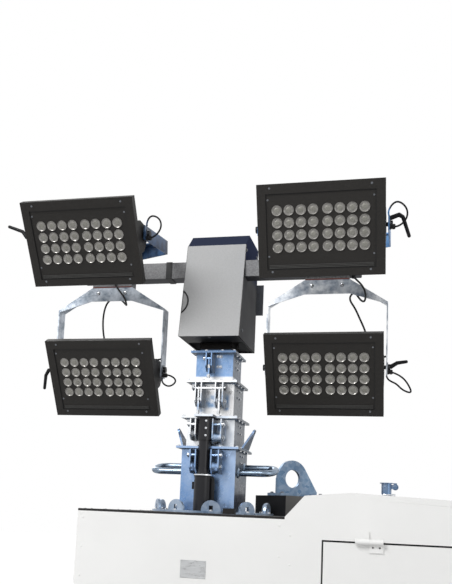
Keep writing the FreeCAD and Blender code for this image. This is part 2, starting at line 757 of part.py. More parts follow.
def deck():
    low = DECK_TOP - DECK_THICK
    plate = box(BODY_LEFT, SLOPE_FOOT, -BODY_HALF_WIDTH, BODY_HALF_WIDTH, low, DECK_TOP)
    hole = Part.makeCylinder(DECK_HOLE_RADIUS, DECK_THICK, V(MAST_X, 0, low))
    long, wide = BUFFER_LENGTH / 2, BUFFER_WIDTH / 2
    buffer = box(BUFFER_X - long, BUFFER_X + long, BUFFER_Y - wide, BUFFER_Y + wide,
                 DECK_TOP, DECK_TOP + BUFFER_HEIGHT)
    return fused([plate.cut(hole), buffer])


def side_door():
    gap = DOOR_GAP
    face = -BODY_HALF_WIDTH
    leaf = box(DOOR_LEFT + gap, DOOR_RIGHT - gap, face, face + DOOR_THICK,
               DOOR_SILL + gap, DOOR_HEAD - gap)
    centre = (DOOR_LEFT + DOOR_RIGHT) / 2
    pieces = [leaf]
    for index in range(GRILLE_SLATS):
        z = DOOR_SILL + GRILLE_RISE + GRILLE_PITCH * index
        pieces.append(box(centre + GRILLE_START, centre + GRILLE_END, face - SLAT_PROUD, face,
                          z, z + SLAT_HEIGHT))
    grip_low = DOOR_SILL + DOOR_GRIP_RISE
    pieces.append(box(centre - DOOR_GRIP_LEFT, centre + DOOR_GRIP_RIGHT, face - HANDLE_PROUD, face,
                      grip_low, grip_low + DOOR_GRIP_HEIGHT))
    for x in side_hinge_places():
        start = V(x + HINGE_LENGTH + FIT, -BODY_HALF_WIDTH - HINGE_RADIUS, DOOR_HEAD)
        pieces.append(hinge_half(start, X_DIR, -Z_DIR, -Y_DIR))
        pieces.append(rod(HINGE_PIN_RADIUS, start - X_DIR * HINGE_LENGTH, start))
    return fused(pieces)


def control_door():
    gap = DOOR_GAP
    leaf = box(BODY_LEFT, BODY_LEFT + DOOR_THICK, -CONTROL_HALF_WIDTH + gap,
               CONTROL_HALF_WIDTH - gap, CONTROL_SILL + gap, CONTROL_HEAD - gap)
    middle = (CONTROL_SILL + CONTROL_HEAD) / 2
    latch_y = CONTROL_HALF_WIDTH - LATCH_INSET
    latch = box(BODY_LEFT - HANDLE_PROUD, BODY_LEFT, latch_y, latch_y + LATCH_WIDTH,
                middle - LATCH_HALF, middle + LATCH_HALF)
    pieces = [leaf, latch]
    for z in control_hinge_places():
        start = V(BODY_LEFT - HINGE_RADIUS, -CONTROL_HALF_WIDTH, z + HINGE_LENGTH + FIT)
        pieces.append(hinge_half(start, Z_DIR, Y_DIR, -X_DIR))
        pieces.append(rod(HINGE_PIN_RADIUS, start - Z_DIR * HINGE_LENGTH, start))
    return fused(pieces)


# Plant

def engine():
    """Engine block with the generator behind it, both on one skid."""
    low = PAN_BOTTOM + PAN_FLOOR
    skid = box(ENGINE_LEFT, ENGINE_RIGHT, -SKID_HALF_WIDTH, SKID_HALF_WIDTH, low, low + SKID_HEIGHT)
    block = box(ENGINE_LEFT, ENGINE_MIDDLE, -ENGINE_HALF_WIDTH, ENGINE_HALF_WIDTH,
                low + SKID_HEIGHT, low + ENGINE_HEIGHT)
    centre_z = low + SKID_HEIGHT + GENERATOR_RADIUS - 2 * PAN_FLOOR
    generator = rod(GENERATOR_RADIUS, V(ENGINE_MIDDLE, 0, centre_z), V(ENGINE_RIGHT, 0, centre_z))
    return fused([skid, block, generator])


def exhaust():
    base = V(EXHAUST_X, EXHAUST_Y, PAN_BOTTOM + PAN_FLOOR + ENGINE_HEIGHT)
    length = EXHAUST_TOP - base.z
    pipe = Part.makeCylinder(EXHAUST_RADIUS, length, base)
    pipe = pipe.cut(Part.makeCylinder(EXHAUST_RADIUS - EXHAUST_WALL, length - EXHAUST_FLOOR,
                                      base + V(0, 0, EXHAUST_FLOOR)))
    ear = box(EXHAUST_X + EXHAUST_RADIUS - EXHAUST_WALL / 2, EXHAUST_X + CAP_HINGE_OUT + CAP_LUG,
              EXHAUST_Y - CAP_LUG / 2, EXHAUST_Y + CAP_LUG / 2,
              EXHAUST_TOP - CAP_EAR_DROP, EXHAUST_TOP - CAP_LUG / 2)
    return fused([pipe, ear, cap_pin(CAP_PIN_RADIUS)])


def at_lift(shape):
    """From the lifting housing's own corner and sides to its place on the deck."""
    placed = shape.copy()
    placed.rotate(ORIGIN, Z_DIR, LIFT_TURN_DEG)
    placed.translate(V(LIFT_CORNER_X, LIFT_CORNER_Y, 0))
    return placed


def lift_frame():
    """Sheet housing that stands on the deck and on the sloping roof."""
    sheet = LIFT_SHEET
    outer = box(0, LIFT_LENGTH, 0, LIFT_WIDTH, DECK_TOP, LIFT_TOP)
    inner = box(sheet, LIFT_LENGTH - sheet, sheet, LIFT_WIDTH - sheet, DECK_TOP, LIFT_TOP - sheet)
    under = [V(SLOPE_FOOT, -BODY_HALF_WIDTH, PAN_BOTTOM), V(SLOPE_FOOT, -BODY_HALF_WIDTH, DECK_TOP),
             V(SLOPE_TOP, -BODY_HALF_WIDTH, roof_height(SLOPE_TOP)),
             V(ROOF_PEAK, -BODY_HALF_WIDTH, roof_height(ROOF_PEAK)),
             V(ROOF_PEAK, -BODY_HALF_WIDTH, PAN_BOTTOM)]
    roof = prism(under, V(0, 2 * BODY_HALF_WIDTH, 0))
    return at_lift(outer.cut(inner)).cut(roof)


def lift_eye():
    """Upright plate with one straight and one slanted edge, on a foot."""
    foot_top = LIFT_TOP + EYE_FOOT_THICK
    left = EYE_PLATE_START
    right = left + EYE_PLATE_LENGTH
    hole_x = left + LIFT_HOLE_IN
    hole_z = foot_top + LIFT_HOLE_RISE
    slant = math.radians(EYE_SLANT_DEG)
    y = EYE_PLATE_IN - EYE_PLATE_THICK / 2
    outline = [V(left, y, foot_top), V(right, y, foot_top), V(right, y, foot_top + EYE_PLATE_LIP),
               V(hole_x + EYE_CROWN * math.cos(slant), y, hole_z + EYE_CROWN * math.sin(slant)),
               V(hole_x, y, hole_z), V(left, y, hole_z)]
    plate = prism(outline, V(0, EYE_PLATE_THICK, 0))
    centre = V(hole_x, y, hole_z)
    plate = plate.fuse(Part.makeCylinder(EYE_CROWN, EYE_PLATE_THICK, centre, Y_DIR))
    plate = plate.common(box(left, right, y, y + EYE_PLATE_THICK, foot_top, hole_z + EYE_CROWN))
    plate = plate.cut(Part.makeCylinder(LIFT_HOLE_RADIUS, EYE_PLATE_THICK, centre, Y_DIR))
    foot = box(left - EYE_FOOT_OVERHANG, right + EYE_FOOT_OVERHANG, EYE_PLATE_IN - EYE_FOOT_HALF,
               EYE_PLATE_IN + EYE_FOOT_HALF, LIFT_TOP, foot_top)
    return at_lift(fused([plate, foot]))


# Mast

def mast_seat():
    low = PAN_BOTTOM + PAN_FLOOR
    disc = Part.makeCylinder(SEAT_RADIUS, MAST_FOOT - FIT - low, V(MAST_X, 0, low))
    pin = Part.makeCylinder(SEAT_PIN_RADIUS, SEAT_PIN_LENGTH, V(MAST_X, 0, MAST_FOOT - FIT))
    return disc.fuse(pin)


def cylinder_axis(z):
    return V(MAST_X + CYLINDER_SHIFT, -SECTIONS[0][0] / 2 - CYLINDER_OUT, z)


def collar(index):
    """Plate round a section's top, deeper at the front where the rod passes."""
    width, wall, top = SECTIONS[index]
    half = width / 2
    side = half + COLLAR_SIDE
    front = half + COLLAR_FRONT
    plate = box(MAST_X - side, MAST_X + side, -front, side, top - COLLAR_THICK, top)
    return plate.cut(box(MAST_X - half, MAST_X + half, -half, half, top - COLLAR_THICK, top))


def guide_pads(index):
    """Slide pads inside a section's top, close to the next section's faces."""
    width, wall, top = SECTIONS[index]
    outer = width / 2 - wall
    inner = SECTIONS[index + 1][0] / 2 + SLIDE_GAP
    low = top - PAD_HEIGHT
    side = PAD_WIDTH / 2
    pads = []
    for sign in (-1, 1):
        x0, x1 = sorted((MAST_X + sign * inner, MAST_X + sign * outer))
        pads.append(box(x0, x1, -side, side, low, top))
        y0, y1 = sorted((sign * inner, sign * outer))
        pads.append(box(MAST_X - side, MAST_X + side, y0, y1, low, top))
    return pads


def section_bottom(index):
    return MAST_FOOT + FOOT_PLATE + SECTION_REST_GAP * index + SEAT_PIN_LENGTH


def hangers(index):
    """Plates, pins, grooved sheaves and tie rods in front of a section, under its collar."""
    width, wall, top = SECTIONS[index]
    face = -width / 2
    high = top - COLLAR_THICK - HANGER_DROP
    pin_y = face - HANGER_OUT + HANGER_PIN_INSET
    pin_z = high - HANGER_PIN_DROP
    out = face - HANGER_OUT
    pieces = []
    for section, offset, gap, length, sheave, tie in HANGERS:
        if section != index:
            continue
        middle = MAST_X + offset
        low = high - length
        for x in (middle - gap / 2 - HANGER_PLATE, middle + gap / 2):
            outline = [V(x, face, low), V(x, out + HANGER_CHAMFER, low),
                       V(x, out, low + HANGER_CHAMFER), V(x, out, high), V(x, face, high)]
            pieces.append(prism(outline, V(HANGER_PLATE, 0, 0)))
        plates = gap / 2 + HANGER_PLATE
        away = 1 if offset > CYLINDER_SHIFT else -1
        outer_end = offset + away * (plates + HANGER_PIN_PROUD)
        inner_end = offset - away * (plates + HANGER_PIN_FLUSH)
        ends = LONG_PIN[1:] if index == LONG_PIN[0] else (inner_end, outer_end)
        pieces.append(rod(HANGER_PIN_RADIUS, V(MAST_X + ends[0], pin_y, pin_z),
                          V(MAST_X + ends[1], pin_y, pin_z)))
        if sheave:
            place = V(middle, face - SHEAVE_OUT, low + SHEAVE_RISE)
            pieces.append(sheave_wheel(place, gap, sheave, away))
        if tie:
            end = SECTIONS[index - 1][2] + TIE_ROD_GAP
            pieces.append(rod(TIE_ROD_RADIUS, V(middle, pin_y, end), V(middle, pin_y, pin_z)))
    return pieces


def sheave_wheel(place, gap, radius, away):
    """Pulley with a groove that fills the gap between two plates, on its pin."""
    half = gap / 2
    root = radius - SHEAVE_GROOVE
    outline = [(0, -half), (radius, -half), (root, 0), (radius, half), (0, half)]
    face = Part.Face(Part.makePolygon([V(along, out, 0) for out, along in outline + outline[:1]]))
    wheel = face.revolve(ORIGIN, X_DIR, FULL_TURN)
    plates = half + HANGER_PLATE
    pin = rod(SHEAVE_PIN_RADIUS, V(-away * (plates + HANGER_PIN_FLUSH), 0, 0),
              V(away * (plates + HANGER_PIN_PROUD / 2), 0, 0))
    wheel = wheel.fuse(pin)
    wheel.translate(place)
    return wheel


def collar_ears():
    """Slotted ears that lean out from both sides of the lowest collar."""
    width, wall, top = SECTIONS[0]
    side = width / 2 + COLLAR_SIDE
    crown_z = EAR_HEIGHT - EAR_CROWN_RADIUS
    ears = []
    for sign in (-1, 1):
        outline = [V(0, -EAR_FOOT_HALF, -EAR_ROOT), V(0, EAR_FOOT_HALF, -EAR_ROOT),
                   V(0, EAR_FOOT_HALF, EAR_ROOT), V(0, EAR_CROWN_RADIUS, crown_z),
                   V(0, -EAR_CROWN_RADIUS, crown_z), V(0, -EAR_FOOT_HALF, EAR_ROOT)]
        inward = V(-sign * EAR_THICK, 0, 0)
        ear = prism(outline, inward)
        ear = ear.fuse(rod(EAR_CROWN_RADIUS, V(0, 0, crown_z), V(0, 0, crown_z) + inward))
        slot_low = crown_z - EAR_SLOT_LENGTH
        slot = box(-EAR_THICK, EAR_THICK, -EAR_SLOT_RADIUS, EAR_SLOT_RADIUS, slot_low, crown_z)
        ends = [rod(EAR_SLOT_RADIUS, V(-EAR_THICK, 0, z), V(EAR_THICK, 0, z))
                for z in (slot_low, crown_z)]
        ear = ear.cut([slot] + ends)
        ear.rotate(ORIGIN, Y_DIR, sign * EAR_LEAN_DEG)
        ear.translate(V(MAST_X + sign * side, 0, top))
        ears.append(ear)
    return ears


def mast_foot():
    plate = Part.makeCylinder(FOOT_RADIUS, FOOT_PLATE, V(MAST_X, 0, MAST_FOOT))
    return plate.cut(Part.makeCylinder(SEAT_PIN_RADIUS + 1, FOOT_PLATE, V(MAST_X, 0, MAST_FOOT)))


def mast_base():
    width, wall, top = SECTIONS[0]
    tube = square_tube(width, wall, MAST_FOOT + FOOT_PLATE, top)
    base = fused([tube, collar(0)] + guide_pads(0) + hangers(0) + collar_ears())
    notch = Part.makeCylinder(ROD_RADIUS + ROD_HOLE_GAP, COLLAR_THICK, cylinder_axis(top - COLLAR_THICK))
    return base.cut(notch)


def mast_section(index):
    width, wall, top = SECTIONS[index]
    pieces = [square_tube(width, wall, section_bottom(index), top)]
    if index < len(SECTIONS) - 1:
        pieces.append(collar(index))
        pieces.extend(guide_pads(index))
        pieces.extend(hangers(index))
    if index == 1:
        centre = cylinder_axis(top)
        half = ROD_HEAD_RADIUS + ROD_PLATE_MARGIN
        pieces.append(box(centre.x - half, centre.x + half, centre.y - half, -width / 2,
                          top - COLLAR_THICK, top))
    return fused(pieces)


def cylinder_barrel():
    low = MAST_FOOT + FOOT_PLATE
    barrel = Part.makeCylinder(BARREL_RADIUS, BARREL_TOP - low, cylinder_axis(low))
    lip = Part.makeCylinder(BARREL_RADIUS + BARREL_LIP, BARREL_LIP_HEIGHT,
                            cylinder_axis(BARREL_TOP - BARREL_LIP_HEIGHT))
    bore = Part.makeCylinder(ROD_RADIUS + FIT, BARREL_TOP - low - BARREL_FLOOR,
                             cylinder_axis(low + BARREL_FLOOR))
    centre = cylinder_axis(low)
    clamps = []
    for z in (CLAMP_LOW, BARREL_TOP - CLAMP_TOP_DROP):
        clamps.append(box(centre.x - CLAMP_HALF_WIDTH, centre.x + CLAMP_HALF_WIDTH, centre.y,
                          -SECTIONS[0][0] / 2, z, z + CLAMP_HEIGHT))
    return fused([barrel, lip] + clamps).cut(bore)


def cylinder_rod():
    low = MAST_FOOT + FOOT_PLATE + ROD_FOOT_GAP
    top = SECTIONS[1][2] - COLLAR_THICK
    bar = Part.makeCylinder(ROD_RADIUS, top - low, cylinder_axis(low))
    head = Part.makeCylinder(ROD_HEAD_RADIUS, ROD_HEAD_LENGTH, cylinder_axis(top - ROD_HEAD_LENGTH))
    return fused([bar, head])


def turn_handles():
    pieces = []
    for sign in (-1, 1):
        root = MAST_X + sign * SECTIONS[0][0] / 2
        tip = root + sign * (HANDLE_REACH - HANDLE_TUBE)
        near, far = -HANDLE_HALF_SPAN, HANDLE_HALF_SPAN
        low, high = HANDLE_HEIGHT - HANDLE_LEAN, HANDLE_HEIGHT + HANDLE_LEAN
        path = [V(root, near, low), V(tip, near, low), V(tip, far, high), V(root, far, high)]
        pieces.append(bent_tube(path, HANDLE_BEND, HANDLE_TUBE))
    return Part.makeCompound(pieces)


def turntable():
    base = V(MAST_X, 0, DECK_TOP)
    ring = Part.makeCylinder(RING_OUTER, RING_THICK, base)
    ring = ring.cut(Part.makeCylinder(RING_INNER, RING_THICK, base))
    pieces = [ring]
    half = TAB_WIDTH / 2
    low = DECK_TOP + RING_THICK
    for index in range(TAB_COUNT):
        plate = box(-half, half, -TAB_THICK / 2, TAB_THICK / 2, low, low + TAB_HEIGHT)
        middle = low + TAB_CROWN_RISE
        crown = rod(half, V(0, -TAB_THICK / 2, middle), V(0, TAB_THICK / 2, middle))
        slot_half = TAB_SLOT_WIDTH / 2
        slot = box(-slot_half, slot_half, -TAB_THICK / 2, TAB_THICK / 2, low, low + TAB_SLOT_HEIGHT)
        tab = plate.common(crown).cut(slot)
        tab.translate(V(MAST_X, -TAB_RADIUS, 0))
        tab.rotate(V(MAST_X, 0, 0), Z_DIR, TAB_FIRST_DEG + FULL_TURN * index / TAB_COUNT)
        pieces.append(tab)
    return fused(pieces)


# Head

def head_outline(inset, x):
    """Side view of the cover, from its low front edge round to its low back edge."""
    return [V(x, HEAD_FRONT_LOW + inset, HEAD_LOW),
            V(x, HEAD_FRONT_HIGH + inset, HEAD_BEVEL_LOW - inset / 2),
            V(x, HEAD_TOP_FRONT + inset / 2, HEAD_TOP - inset), V(x, HEAD_BACK - inset, HEAD_TOP - inset),
            V(x, HEAD_BACK - inset, HEAD_LOW)]


def head_box():
    """Sheet cover with a leaning front, a notch in its left edge and an open foot."""
    left = MAST_X - HEAD_HALF_WIDTH
    wide = 2 * HEAD_HALF_WIDTH
    solid = prism(head_outline(0, left), V(wide, 0, 0))
    shell = solid.cut(prism(head_outline(HEAD_SHEET, left + HEAD_SHEET), V(wide - 2 * HEAD_SHEET, 0, 0)))
    half = BAR_SIZE / 2
    bar_hole = box(left, left + wide, BAR_CENTRE_Y - half, BAR_CENTRE_Y + half,
                   BAR_CENTRE_Z - half, BAR_CENTRE_Z + half)
    radius = (NOTCH_HALF_HEIGHT ** 2 + NOTCH_DEPTH ** 2) / (2 * NOTCH_DEPTH)
    centre = V(left + NOTCH_DEPTH - radius, HEAD_FRONT_LOW, HEAD_LOW + NOTCH_RISE)
    circle = Part.makeCylinder(radius, HEAD_BACK, centre, Y_DIR)
    behind = solid.copy()
    behind.translate(V(0, HEAD_SHEET, 0))
    return shell.cut([bar_hole, circle.cut(behind)])


def lamp_bracket(row):
    """Foot on the bar and leaning plate that carry an upper yoke."""
    name, offset, hinge_y, hinge_z, tilt, lean = row
    x = MAST_X + offset
    half = BRACKET_HALF
    bar_top = BAR_CENTRE_Z + BAR_SIZE / 2
    front = BAR_CENTRE_Y - BAR_SIZE / 2 + BRACKET_FRONT_INSET
    foot_top = bar_top + BRACKET_THICK
    foot = box(x - half, x + half, front, BRACKET_BACK, bar_top, foot_top)
    plate = box(-half, half, -YOKE_WIDTH / 2, BRACKET_DEPTH, YOKE_REACH, YOKE_REACH + BRACKET_THICK)
    pieces = [foot, at_lamp(plate, row, False)]
    for sign in (-1, 1):
        side = x + sign * BRACKET_RIB_X - BRACKET_THICK / 2
        outline = [V(side, y, foot_top + rise) for y, rise in BRACKET_RIB]
        pieces.append(prism(outline, V(BRACKET_THICK, 0, 0)))
    return pieces


def crossbar():
    half = BAR_SIZE / 2
    hollow = half - BAR_WALL
    left, right = MAST_X - BAR_HALF_LENGTH, MAST_X + BAR_HALF_LENGTH
    low = BAR_CENTRE_Z - half
    back = BAR_CENTRE_Y + half
    bar = box(left, right, BAR_CENTRE_Y - half, back, low, BAR_CENTRE_Z + half)
    bar = bar.cut(box(left, right, BAR_CENTRE_Y - hollow, BAR_CENTRE_Y + hollow,
                      BAR_CENTRE_Z - hollow, BAR_CENTRE_Z + hollow))
    top = SECTIONS[-1][2]
    mast_half = SECTIONS[-1][0] / 2
    cap_top = top + MAST_CAP
    pieces = [bar,
              box(MAST_X - mast_half, MAST_X + mast_half, -mast_half, mast_half, top, cap_top),
              box(MAST_X - NECK_HALF, MAST_X + NECK_HALF, back, mast_half, cap_top,
                  BAR_CENTRE_Z + half)]
    for row in LAMPS:
        name, offset, hinge_y, hinge_z, tilt, lean = row
        x = MAST_X + offset
        if lean:
            pieces.extend(lamp_bracket(row))
        else:
            wide = YOKE_BASE_HALF - SPACER_INSET
            pieces.append(box(x - wide, x + wide, hinge_y - YOKE_WIDTH / 2, back,
                              hinge_z + YOKE_REACH, low))
    return fused(pieces)


def yoke_local():
    """Yoke with its hinge on the origin: X across, Z towards its base, Y its width."""
    inner = YOKE_HALF_INNER
    outer = inner + YOKE_STRAP
    reach = YOKE_REACH
    corner = YOKE_CORNER_REACH
    base = YOKE_BASE_HALF
    w = YOKE_WIDTH / 2
    low = -YOKE_BELOW_HINGE
    trim = YOKE_INSIDE_TRIM
    under = reach - YOKE_STRAP
    outside = [V(-outer, -w, low), V(-outer, -w, corner), V(-base, -w, reach),
               V(base, -w, reach), V(outer, -w, corner), V(outer, -w, low)]
    inside = [V(inner, -w, low), V(inner, -w, corner - trim), V(base - trim, -w, under),
              V(trim - base, -w, under), V(-inner, -w, corner - trim), V(-inner, -w, low)]
    strap = prism(outside + inside, V(0, YOKE_WIDTH, 0))
    flange = prism([V(-outer, -w, corner), V(-base, -w, reach), V(base, -w, reach),
                    V(outer, -w, corner), V(outer, -w, corner - YOKE_FLANGE_END),
                    V(base, -w, reach - YOKE_FLANGE), V(-base, -w, reach - YOKE_FLANGE),
                    V(-outer, -w, corner - YOKE_FLANGE_END)], V(0, YOKE_STRAP, 0))
    caps = []
    holes = []
    for sign in (-1, 1):
        face = V(sign * outer, 0, 0)
        caps.append(rod(PIVOT_CAP_RADIUS, face, V(sign * (outer + PIVOT_CAP_OUT), 0, 0)))
        holes.append(rod(PIVOT_PIN_RADIUS + FIT, V(sign * inner, 0, 0),
                         V(sign * (outer + PIVOT_CAP_OUT - PIVOT_CAP_FLOOR), 0, 0)))
    return fused([strap, flange] + caps), holes


def tapered(points):
    """Round limb through the points, thickest at the first, with balls at its joints."""
    places = [V(*point) for point in points]
    fall = (LEVER_ROOT_RADIUS - LEVER_TIP_RADIUS) / (len(places) - 1)
    pieces = []
    for index, (start, end) in enumerate(zip(places, places[1:])):
        first = LEVER_ROOT_RADIUS - fall * index
        second = first - fall
        pieces.append(Part.makeCone(first, second, (end - start).Length, start, end - start))
        pieces.append(Part.makeSphere(second, end))
    return pieces


def cable(points, radius):
    """Round cable on a smooth curve through the points."""
    curve = Part.BSplineCurve()
    curve.interpolate(points)
    path = Part.Wire([curve.toShape()])
    circle = Part.makeCircle(radius, points[0], curve.tangent(curve.FirstParameter)[0])
    return path.makePipeShell([Part.Wire([circle])], True, False)


def yoke(row):
    """Yoke in its place, with its clamp lever and a loop of cable out of its gland."""
    frame, holes = yoke_local()
    loop = [V(*point) for point in CABLE_LOOPS[row[0]]]
    root = V(YOKE_HALF_INNER + YOKE_STRAP / 2, loop[0].y, loop[0].z)
    gland = rod(GLAND_RADIUS, root, root + V(GLAND_LENGTH, 0, 0))
    extras = tapered(LEVERS[row[0]]) + [gland, cable(loop, LOOP_RADIUS)]
    placed = [at_lamp(frame, row, False)] + [at_lamp(extra, row, True) for extra in extras]
    return fused(placed).cut([at_lamp(hole, row, False) for hole in holes])


def head_cables():
    """Cables from the crossbar's underside to the lower yokes, and a band round the bar."""
    pieces = []
    for points in HEAD_CABLES:
        places = [V(MAST_X + x, y, z) for x, y, z in points]
        under_bar = V(places[0].x, places[0].y, BAR_CENTRE_Z - BAR_SIZE / 2)
        gland = rod(GLAND_RADIUS, under_bar, under_bar - V(0, 0, GLAND_LENGTH / 2))
        pieces.append(fused([cable(places, HEAD_CABLE_RADIUS), gland]))
    centre = MAST_X + STRAP_X
    inner = BAR_SIZE / 2
    outer = inner + STRAP_THICK
    half = STRAP_WIDTH / 2
    band = box(centre - half, centre + half, BAR_CENTRE_Y - outer, BAR_CENTRE_Y + outer,
               BAR_CENTRE_Z - outer, BAR_CENTRE_Z + outer)
    band = band.cut(box(centre - half, centre + half, BAR_CENTRE_Y - inner, BAR_CENTRE_Y + inner,
                        BAR_CENTRE_Z - inner, BAR_CENTRE_Z + inner))
    return Part.makeCompound(pieces + [band])


def lamp_local():
    """Lamp facing -Y with its hinge on the origin: bordered face, fins behind, side lugs."""
    floor = -HINGE_BEHIND_LENS
    front = floor - LENS_BEHIND_FRONT
    back = front + LAMP_FRAME_DEPTH
    plate_back = floor + LAMP_PLATE
    wide = LAMP_HALF_WIDTH
    wall = LAMP_WALL
    frame = box(-wide, wide, front, back, -LAMP_DOWN, LAMP_UP)
    side = wide - LAMP_BORDER_SIDE
    recess = box(-side, side, front, floor, LAMP_BORDER_FOOT - LAMP_DOWN, LAMP_UP - LAMP_BORDER_TOP)
    hollow = box(wall - wide, wide - wall, plate_back, back, wall - LAMP_DOWN, LAMP_UP - wall)
    pieces = [frame.cut([recess, hollow])]
    for index in range(RIB_COUNT):
        z = RIB_LOW + RIB_PITCH * index
        pieces.append(box(-RIB_HALF_LENGTH, RIB_HALF_LENGTH, floor - RIB_PROUD, floor,
                          z, z + RIB_WIDTH))
    inset = SINK_INSET
    low, high = inset - LAMP_DOWN, LAMP_UP - inset
    span = 2 * (wide - inset) - FIN_THICK
    for index in range(FIN_COUNT):
        x = inset - wide + span * index / (FIN_COUNT - 1)
        pieces.append(box(x, x + FIN_THICK, plate_back, back + SINK_DEPTH, low, high))
    pieces.append(box(inset - wide, wide - inset, back, back + SINK_BASE, low, high))
    lug_back = plate_back + LUG_STRAIGHT
    for sign in (-1, 1):
        x = sign * wide
        lug = [V(x, plate_back, -LUG_FRONT_HALF), V(x, lug_back, -LUG_FRONT_HALF),
               V(x, LUG_BACK, -LUG_BACK_HALF), V(x, LUG_BACK, LUG_BACK_HALF),
               V(x, lug_back, LUG_FRONT_HALF), V(x, plate_back, LUG_FRONT_HALF)]
        pieces.append(prism(lug, V(-sign * LUG_THICK, 0, 0)))
        start = V(sign * (wide - LUG_THICK / 2), 0, 0)
        end = V(sign * (YOKE_HALF_INNER + YOKE_STRAP + PIVOT_PIN_PROUD), 0, 0)
        pieces.append(rod(PIVOT_PIN_RADIUS, start, end))
    return fused(pieces)


def lens_places():
    places = []
    for column in range(LENS_COLUMNS):
        offset = column - (LENS_COLUMNS - 1) / 2
        side_gap = LENS_CENTRE_GAP / 2 if offset > 0 else -LENS_CENTRE_GAP / 2
        for row in range(LENS_ROWS):
            places.append((offset * LENS_PITCH + side_gap, (row - (LENS_ROWS - 1) / 2) * LENS_PITCH))
    return places


def lenses_local():
    floor = -HINGE_BEHIND_LENS
    return Part.makeCompound([
        Part.makeCylinder(LENS_RADIUS, LENS_PROUD, V(x, floor - LENS_PROUD, z), Y_DIR)
        for x, z in lens_places()])


def at_lamp(shape, row, tilted):
    name, offset, hinge_y, hinge_z, tilt, lean = row
    placed = shape.copy()
    placed.rotate(ORIGIN, X_DIR, tilt if tilted else -lean)
    placed.translate(V(MAST_X + offset, hinge_y, hinge_z))
    return placed


def cap_hinge():
    return V(EXHAUST_X + CAP_HINGE_OUT, EXHAUST_Y, EXHAUST_TOP - CAP_PIN_DROP)


def cap_pin(radius):
    start = cap_hinge() - V(0, CAP_LUG / 2, 0)
    return rod(radius, start, start + V(0, 2 * CAP_LUG, 0))


def rain_cap():
    """Lid with a tongue to a round ear beside the exhaust's own."""
    low = EXHAUST_TOP + FIT
    hinge = cap_hinge()
    near, far = EXHAUST_Y + CAP_LUG / 2 + FIT, EXHAUST_Y + CAP_LUG
    disc = Part.makeCylinder(EXHAUST_RADIUS + CAP_MARGIN, CAP_THICK, V(EXHAUST_X, EXHAUST_Y, low))
    radius = CAP_HINGE_OUT - EXHAUST_RADIUS - CAP_CLEAR
    ear = rod(radius, V(hinge.x, near, hinge.z), V(hinge.x, far, hinge.z))
    half = radius / 2
    riser = box(hinge.x - half, hinge.x + half, near, far, hinge.z, low + CAP_THICK)
    tongue = box(EXHAUST_X, hinge.x + half, near, far, low, low + CAP_THICK)
    return fused([disc, ear, riser, tongue]).cut(cap_pin(CAP_PIN_RADIUS + FIT))


def all_nodes():
    nodes = {
        "chassis_pan": chassis_pan(),
        "drawbar": drawbar(),
        "tow_eye": tow_eye(),
        "axle": axle(),
        "canopy_near": canopy_side(),
        "canopy_far": mirrored(canopy_side()),
        "canopy_roof": canopy_roof(),
        "canopy_rear": canopy_rear(),
        "front_cabinet": front_cabinet(),
        "deck": deck(),
        "door_near": side_door(),
        "door_far": mirrored(side_door()),
        "control_door": control_door(),
        "engine": engine(),
        "exhaust": exhaust(),
        "rain_cap": rain_cap(),
        "lift_frame": lift_frame(),
        "lift_eye": lift_eye(),
        "turntable": turntable(),
        "mast_seat": mast_seat(),
        "mast_foot": mast_foot(),
        "mast_base": mast_base(),
        "turn_handles": turn_handles(),
        "cylinder_barrel": cylinder_barrel(),
        "cylinder_rod": cylinder_rod(),
        "head_box": head_box(),
        "crossbar": crossbar(),
        "head_cables": head_cables(),
    }
    for index in range(1, len(SECTIONS)):
        nodes["mast_section_%d" % (index + 1)] = mast_section(index)
    for name, x, y in jack_places():
        toward = -1 if y > 0 else 1
        nodes["jack_tube_" + name] = jack_tube(x, y, toward)
        nodes["jack_leg_" + name] = jack_leg(x, y)
    for side, sign in (("near", -1), ("far", 1)):
        nodes["rim_" + side] = at_wheel(wheel_rim(), sign)
        nodes["tyre_" + side] = at_wheel(wheel_tyre(), sign)
        nodes["fender_" + side] = fender(sign)
    lamp = lamp_local()
    lenses = lenses_local()
    for row in LAMPS:
        nodes["yoke_" + row[0]] = yoke(row)
        nodes["lamp_" + row[0]] = at_lamp(lamp, row, True)
        nodes["lenses_" + row[0]] = at_lamp(lenses, row, True)
    return nodes


os.makedirs("parts", exist_ok=True)
for node, shape in all_nodes().items():
    shape.exportStep("parts/" + node + ".step")
    print(node, len(shape.Solids), shape.isValid(), round(shape.Volume / 1e6, 2))
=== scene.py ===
import json
import math

import bmesh
import bpy
from mathutils import Matrix, Vector


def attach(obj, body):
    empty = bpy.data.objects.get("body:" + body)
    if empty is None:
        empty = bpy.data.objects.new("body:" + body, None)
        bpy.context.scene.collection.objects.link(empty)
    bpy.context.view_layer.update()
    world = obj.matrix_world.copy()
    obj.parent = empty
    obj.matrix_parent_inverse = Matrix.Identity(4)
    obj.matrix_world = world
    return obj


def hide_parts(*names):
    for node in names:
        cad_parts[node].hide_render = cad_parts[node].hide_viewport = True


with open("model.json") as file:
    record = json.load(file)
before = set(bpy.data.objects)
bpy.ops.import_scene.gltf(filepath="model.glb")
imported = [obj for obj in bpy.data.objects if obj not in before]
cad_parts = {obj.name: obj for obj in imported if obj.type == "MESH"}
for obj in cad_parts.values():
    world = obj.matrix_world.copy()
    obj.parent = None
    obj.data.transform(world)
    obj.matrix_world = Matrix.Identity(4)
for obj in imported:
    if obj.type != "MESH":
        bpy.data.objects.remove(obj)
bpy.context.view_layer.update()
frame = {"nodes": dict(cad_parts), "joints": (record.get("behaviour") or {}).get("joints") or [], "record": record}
NODES = frame["nodes"]
JOINTS = {joint["name"]: joint for joint in frame["joints"]}

